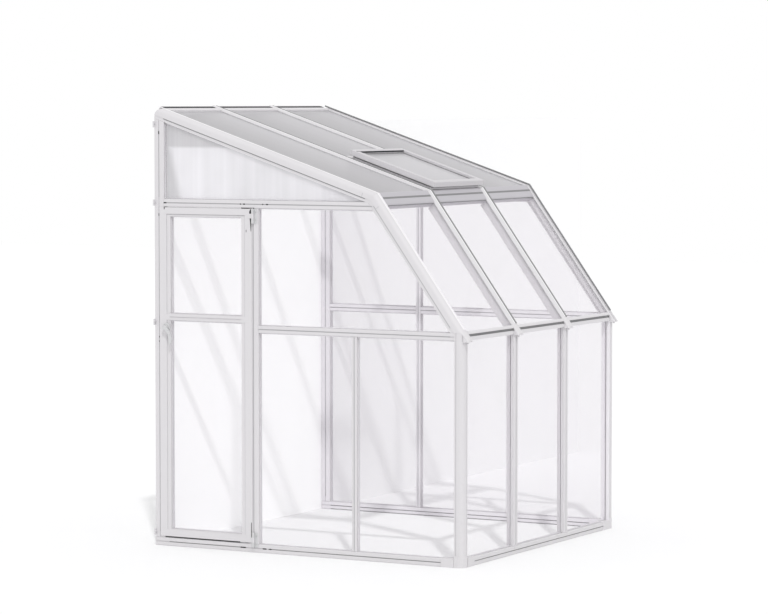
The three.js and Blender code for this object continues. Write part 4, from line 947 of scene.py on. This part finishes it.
def vent_sides(name, finish, deep, thick):
    ends = (ring_s[0] - STRIP_T, ring_s[1] + STRIP_T)
    faces = [(side * ring_x, side * (ring_x + thick)) for side in (-1, 1)]
    strips(name, finish, [(on_roof, 1, ends, turned(crowned(deep, face))) for face in faces], "vent")


vent_sides("vent_side_strips", GREY_RUBBER, STRIP_B, STRIP_T)
# Painted light: the white skirt lightens the shaded side of the ring.
vent_sides("vent_painted_light_skirt", BEAD_WHITE, SKIRT_B, SKIRT_T)
foot = turned(crowned(STRIP_B, (ring_s[1], ring_s[1] + STRIP_T)))
strips("vent_foot_strip", DARK_RUBBER, [(on_roof, 0, (-ring_x, ring_x), foot)], "vent")

SHEET_B, CORD_R = -33, 2.0
corners = rectangle(-VENT_X, VENT_X, *VENT_S, inset=BAR_IN + CORD_R)
cord = [on_roof(x, s, SHEET_B - CORD_R - 0.1) for x, s in corners]
bead_loops("vent_sheet_cord", [cord], GREY_RUBBER, "vent", CORD_R)

# Painted shade: these dark strips stand in for the shaded inner face of the upper bar.
UPPER_SHADE = [
    (on_roof, 0, (-262, 262), [(967.4, -50.8), (969.6, -50.8), (969.6, -42), (968.2, -42)]),
    (on_roof, 0, (-297, -262), [(964, -50.9), (969, -50.9), (969, -51.6), (964, -51.6)]),
]
strips("vent_upper_painted_shade", DARK_RUBBER, UPPER_SHADE, "vent")

# %% [markdown]
# The screws are pan heads with a round socket. The tree makes one head from a cone: its top face is set
# in, made smaller and pushed down to form the socket. Every head gets its own turn from a fixed seed, so
# that no two sockets line up, and is then aligned with the direction that its point carries.

# %% Geometry Nodes: screws
HEAD_TOP_SHARE, SOCKET_DEPTH_SHARE = 0.72, 0.5


def screw_tree():
    tree, given, out = new_tree("screws", [
        ("Head Width", FLOAT), ("Head Height", FLOAT), ("Socket Share", FLOAT),
        ("Sides", WHOLE), ("Seed", WHOLE), ("Finish", MATERIAL),
    ])
    radius = maths(tree, "MULTIPLY", given["Head Width"], 0.5)
    head = node(
        tree, "GeometryNodeMeshCone", Vertices=given["Sides"], Radius_Bottom=radius,
        Radius_Top=maths(tree, "MULTIPLY", radius, HEAD_TOP_SHARE), Depth=given["Head Height"],
    ).outputs
    rim = node(
        tree, "GeometryNodeExtrudeMesh", Offset_Scale=0.0, Mesh=head["Mesh"], Selection=head["Top"]
    ).outputs
    smaller = node(
        tree, "GeometryNodeScaleElements", Geometry=rim["Mesh"], Selection=rim["Top"],
        Scale=given["Socket Share"],
    ).outputs[0]
    socket = node(
        tree, "GeometryNodeExtrudeMesh", Mesh=smaller, Selection=rim["Top"],
        Offset_Scale=maths(tree, "MULTIPLY", given["Head Height"], -SOCKET_DEPTH_SHARE),
    ).outputs["Mesh"]
    # Output 1 of a random value is the plain number, from 0 to 1.
    turn = node(tree, "FunctionNodeRandomValue", Seed=given["Seed"]).outputs[1]
    twist = node(tree, "FunctionNodeAxisAngleToRotation", Angle=turn).outputs[0]
    way = node(tree, "GeometryNodeInputNamedAttribute", data_type="FLOAT_VECTOR", Name="facing")
    aligned = node(
        tree, "FunctionNodeAlignRotationToVector", axis="Z", Rotation=twist, Vector=way.outputs[0]
    ).outputs[0]
    set_out = node(
        tree, "GeometryNodeInstanceOnPoints", Points=given["Geometry"], Instance=socket, Rotation=aligned
    )
    return close_tree(tree, given, out, set_out.outputs[0])


SCREWS = screw_tree()
print("tree:", SCREWS.name)

# %% [markdown]
# Steel screws hold the lugs to the house wall, the hinge plates to the door post and the keeper to the
# wall post. White snap caps cover the screws at the joints of the bars. Each row is a place and the way
# it faces.

# %% Screws and caps
def facing(x=0, d=0, z=0):
    return Vector((x, -d, z))


def screws(name, rows, width, height, finish, body="greenhouse", share=0.5):
    points = [point for point, _ in rows]
    values = {"Head Width": width * MM, "Head Height": height * MM, "Socket Share": share,
              "Sides": 12, "Seed": 7, "Finish": finish}
    return grown(name, SCREWS, points, [], values, body, [way for _, way in rows])


LUG_X, LUG_D, LUG_HEIGHTS = 967, 6, (77, 1267, 1940.5, 2380)
HINGE_PLATE, HINGE_SCREWS = (-963.3, 667), (48, 92, 1853, 1897)
KEEPER_FACE, KEEPER_SCREWS = (-916.6, 42), (1262, 1290)
rows = [(wall(side * LUG_X, LUG_D, z), facing(d=1)) for side in (-1, 1) for z in LUG_HEIGHTS]
rows += [(wall(*HINGE_PLATE, z), facing(x=-1)) for z in HINGE_SCREWS]
rows += [(wall(*KEEPER_FACE, z), facing(x=1)) for z in KEEPER_SCREWS]
screws("steel_screws", rows, 9, 2.6, STEEL)

CAP_ROWS = [
    # x side, d, z on the gables
    (-1, 649, 1960), (-1, 649, 34), (-1, 700, 1262), (-1, 1290, 1262), (-1, 1290, 34), (-1, 1860, 1262),
    (1, 678, 1960), (1, 678, 34), (1, 645, 1262), (1, 712, 1262), (1, 1290, 1262), (1, 1290, 34),
    (1, 1860, 1262),
]
rows = [(wall(side * OUTER, d, z), facing(x=side)) for side, d, z in CAP_ROWS]
rows += [(wall(x, DEPTH, z), facing(d=1)) for x in (-334, -306, 306, 334) for z in (38, 1200)]
screws("bar_caps", rows, 8, 1.6, CAPS, share=0.8)

ROSE_FACE, ROSE_D, ROSE_Z, ROSE_RING = -973.5, 82, 1241, 16.5
rows = [
    (wall(ROSE_FACE, ROSE_D + ROSE_RING * math.sin(t), ROSE_Z + ROSE_RING * math.cos(t)), facing(x=-1))
    for t in (math.radians(-35), math.radians(145))
]
screws("rose_screws", rows, 6, 1.8, STEEL, "door")

out_of_roof = Vector((0, -math.sin(ROOF_TILT), math.cos(ROOF_TILT)))
VENT_TOP_B = -51
rows = [(on_roof(x, s, VENT_TOP_B), out_of_roof) for x in (-282, 282) for s in (950, 1483)]
screws("vent_caps", rows, 9, 1.8, CAPS, "vent", share=0.8)

# %% [markdown]
# The latch tongue needs something to bear on: a thin steel keeper on the inside of the wall post. The
# hinges get their pin heads, a small lathed knob above and below each barrel.

# %% Keeper and hinge pins
KEEPER = turned(crowned((30, 54), (-917.9, -916.6), shoulder=0.06))
strips("latch_keeper", STEEL, [(wall, 2, (1254, 1298), KEEPER)])

PIN_AXIS = (-969.3, 650)
PIN_OUTLINE = [(5.2, 0.0), (5.6, 0.8), (5.0, 2.2), (3.0, 3.1), (0.8, 3.4)]


def pin_head(shape, foot, way):
    loft(shape, [
        [wall(x, d, foot + way * rise) for x, d in round_outline(*PIN_AXIS, radius, sides=16)]
        for radius, rise in PIN_OUTLINE
    ])


shape = bmesh.new()
for foot, head in ((30, 110), (1835, 1915)):
    pin_head(shape, head, 1)
    pin_head(shape, foot, -1)
piece("hinge_pins", shape, STEEL)

# %% [markdown]
# At the bend each gable rafter is covered by an elbow cap. It fits so closely that only its two end seams
# show, as fine lines square across the rafter. The seam is a hair of grey that follows the rafter's
# crown.

# %% Seams of the elbow caps
SEAM_W, SEAM_T = 1.6, 1.2
ELBOW = 72
SEAM_OUTLINE = ((-960.6, 44), (-960.6, 22), (-956, 15), (-948, 6), (-930, -4.6), (-926.4, -4.6))


def elbow_seam(place, s, side):
    skin = [(side * -x, b) for x, b in SEAM_OUTLINE]
    inner = [(x - side * SEAM_T, b + SEAM_T) for x, b in skin]
    return place, 1, (s - SEAM_W / 2, s + SEAM_W / 2), skin + inner[::-1]


ends = ((on_roof, ROOF_RUN - ELBOW), (on_slope, ELBOW))
strips("elbow_seams", PALE_RUBBER, [elbow_seam(place, s, side) for side in (-1, 1) for place, s in ends])

# %% [markdown]
# The greenhouse stands on a white floor in front of nothing. The floor's own colour is as white as the
# light that reaches it allows, so it stays white where the light is full and keeps the soft shadow of the
# bars.

# %% Floor
FLOOR_SIZE = 60.0
STAGE_WHITE = (0.945, 0.945, 0.95)


def stage_white(name):
    made, tree, shader = new_material(name, 1.0)
    worn = maths(tree, "MULTIPLY_ADD", noise(tree, place_in(tree), 3.0), 0.008, 0.992)
    feed(tree, shader, Base_Color=scaled(tree, STAGE_WHITE, worn), Specular_IOR_Level=0.0)
    return made, tree, shader


def stage_plane(name, corners, finish):
    mesh = bpy.data.meshes.new(name)
    mesh.from_pydata(corners, [], [(0, 1, 2, 3)])
    mesh.materials.append(finish)
    made = bpy.data.objects.new(name, mesh)
    bpy.context.scene.collection.objects.link(made)


half = FLOOR_SIZE / 2
corners = [(-half, -half, 0), (half, -half, 0), (half, half, 0), (-half, half, 0)]
stage_plane("floor", corners, stage_white("white floor")[0])
print("floor %.0f m" % FLOOR_SIZE)

# %% [markdown]
# Behind the open back stands a white board, which goes on to the right. It catches the slanting shadows
# of the rafters, which the photograph shows through the panes. Little light reaches it through the roof,
# so it has a small glow for the rays that see it. From behind it is clear, and it throws no shadow, so it
# hides nothing.

# %% Board behind the open back
BOARD_LEFT, BOARD_RIGHT, BOARD_TOP, BOARD_AT = -916, 4600, 2390, 1.5
GLOW_INSIDE, GLOW_OUTSIDE = 0.14, 0.02


def seen_directly(tree, ray):
    direct = maths(tree, "MAXIMUM", ray["Is Camera Ray"], ray["Is Transmission Ray"])
    return maths(tree, "MAXIMUM", direct, ray["Is Glossy Ray"])


def board_finish():
    made, tree, shader = stage_white("white board")
    ray = tree.nodes.new("ShaderNodeLightPath").outputs
    across = separate(tree, place_in(tree))["X"]
    inside = ramp(tree, across, wall(980, 0, 0).x, wall(880, 0, 0).x, smooth=True)
    strength = maths(tree, "MULTIPLY_ADD", inside, GLOW_INSIDE - GLOW_OUTSIDE, GLOW_OUTSIDE)
    level = maths(tree, "MULTIPLY", seen_directly(tree, ray), strength)
    behind = tree.nodes.new("ShaderNodeNewGeometry").outputs["Backfacing"]
    unseen = maths(tree, "MAXIMUM", behind, ray["Is Shadow Ray"])
    feed(tree, shader, Emission_Color=(1, 1, 1, 1), Emission_Strength=level)
    feed(tree, shader, Alpha=maths(tree, "SUBTRACT", 1.0, unseen))
    made.surface_render_method = "BLENDED"
    return made


corners = [(BOARD_LEFT, 0), (BOARD_RIGHT, 0), (BOARD_RIGHT, BOARD_TOP), (BOARD_LEFT, BOARD_TOP)]
stage_plane("board", [wall(x, BOARD_AT, z) for x, z in corners], board_finish())
print("board %.2f m high" % (BOARD_TOP * MM))

# %% [markdown]
# The light is that of a bright white studio: an even sky, and one lamp in front and to the left, high up,
# whose edge is sharp enough to draw the bars on the floor inside. The level is set so that a colour
# renders about as it is written. Camera, glossy and transmission rays see the sky as plain white.

# %% World and lamps
SKY = 0.86
KEY = 0.95
KEY_WIDTH = 2.0
KEY_TILT = 41.7
KEY_TURN = -55.2


def world():
    made = bpy.data.worlds.new("studio")
    made.use_nodes = True
    tree = made.node_tree
    light = feed(tree, tree.nodes["Background"], Color=(1, 1, 1, 1), Strength=SKY)
    seen = node(tree, "ShaderNodeBackground", Color=(1, 1, 1, 1), Strength=1.0)
    which = seen_directly(tree, tree.nodes.new("ShaderNodeLightPath").outputs)
    mix = tree.nodes.new("ShaderNodeMixShader")
    for socket, source in zip(mix.inputs, (which, light.outputs[0], seen.outputs[0])):
        tree.links.new(source, socket)
    feed(tree, tree.nodes["World Output"], Surface=mix.outputs[0])
    bpy.context.scene.world = made


def sun(name, strength, width, tilt, turn):
    data = bpy.data.lights.new(name, "SUN")
    data.energy = strength
    data.angle = math.radians(width)
    made = bpy.data.objects.new(name, data)
    made.rotation_euler = Euler((math.radians(tilt), 0, math.radians(turn)), "XYZ")
    bpy.context.scene.collection.objects.link(made)


world()
sun("key", KEY, KEY_WIDTH, KEY_TILT, KEY_TURN)
bpy.context.scene.view_settings.view_transform = "Standard"
print("sky %.2f, key %.2f" % (SKY, KEY))
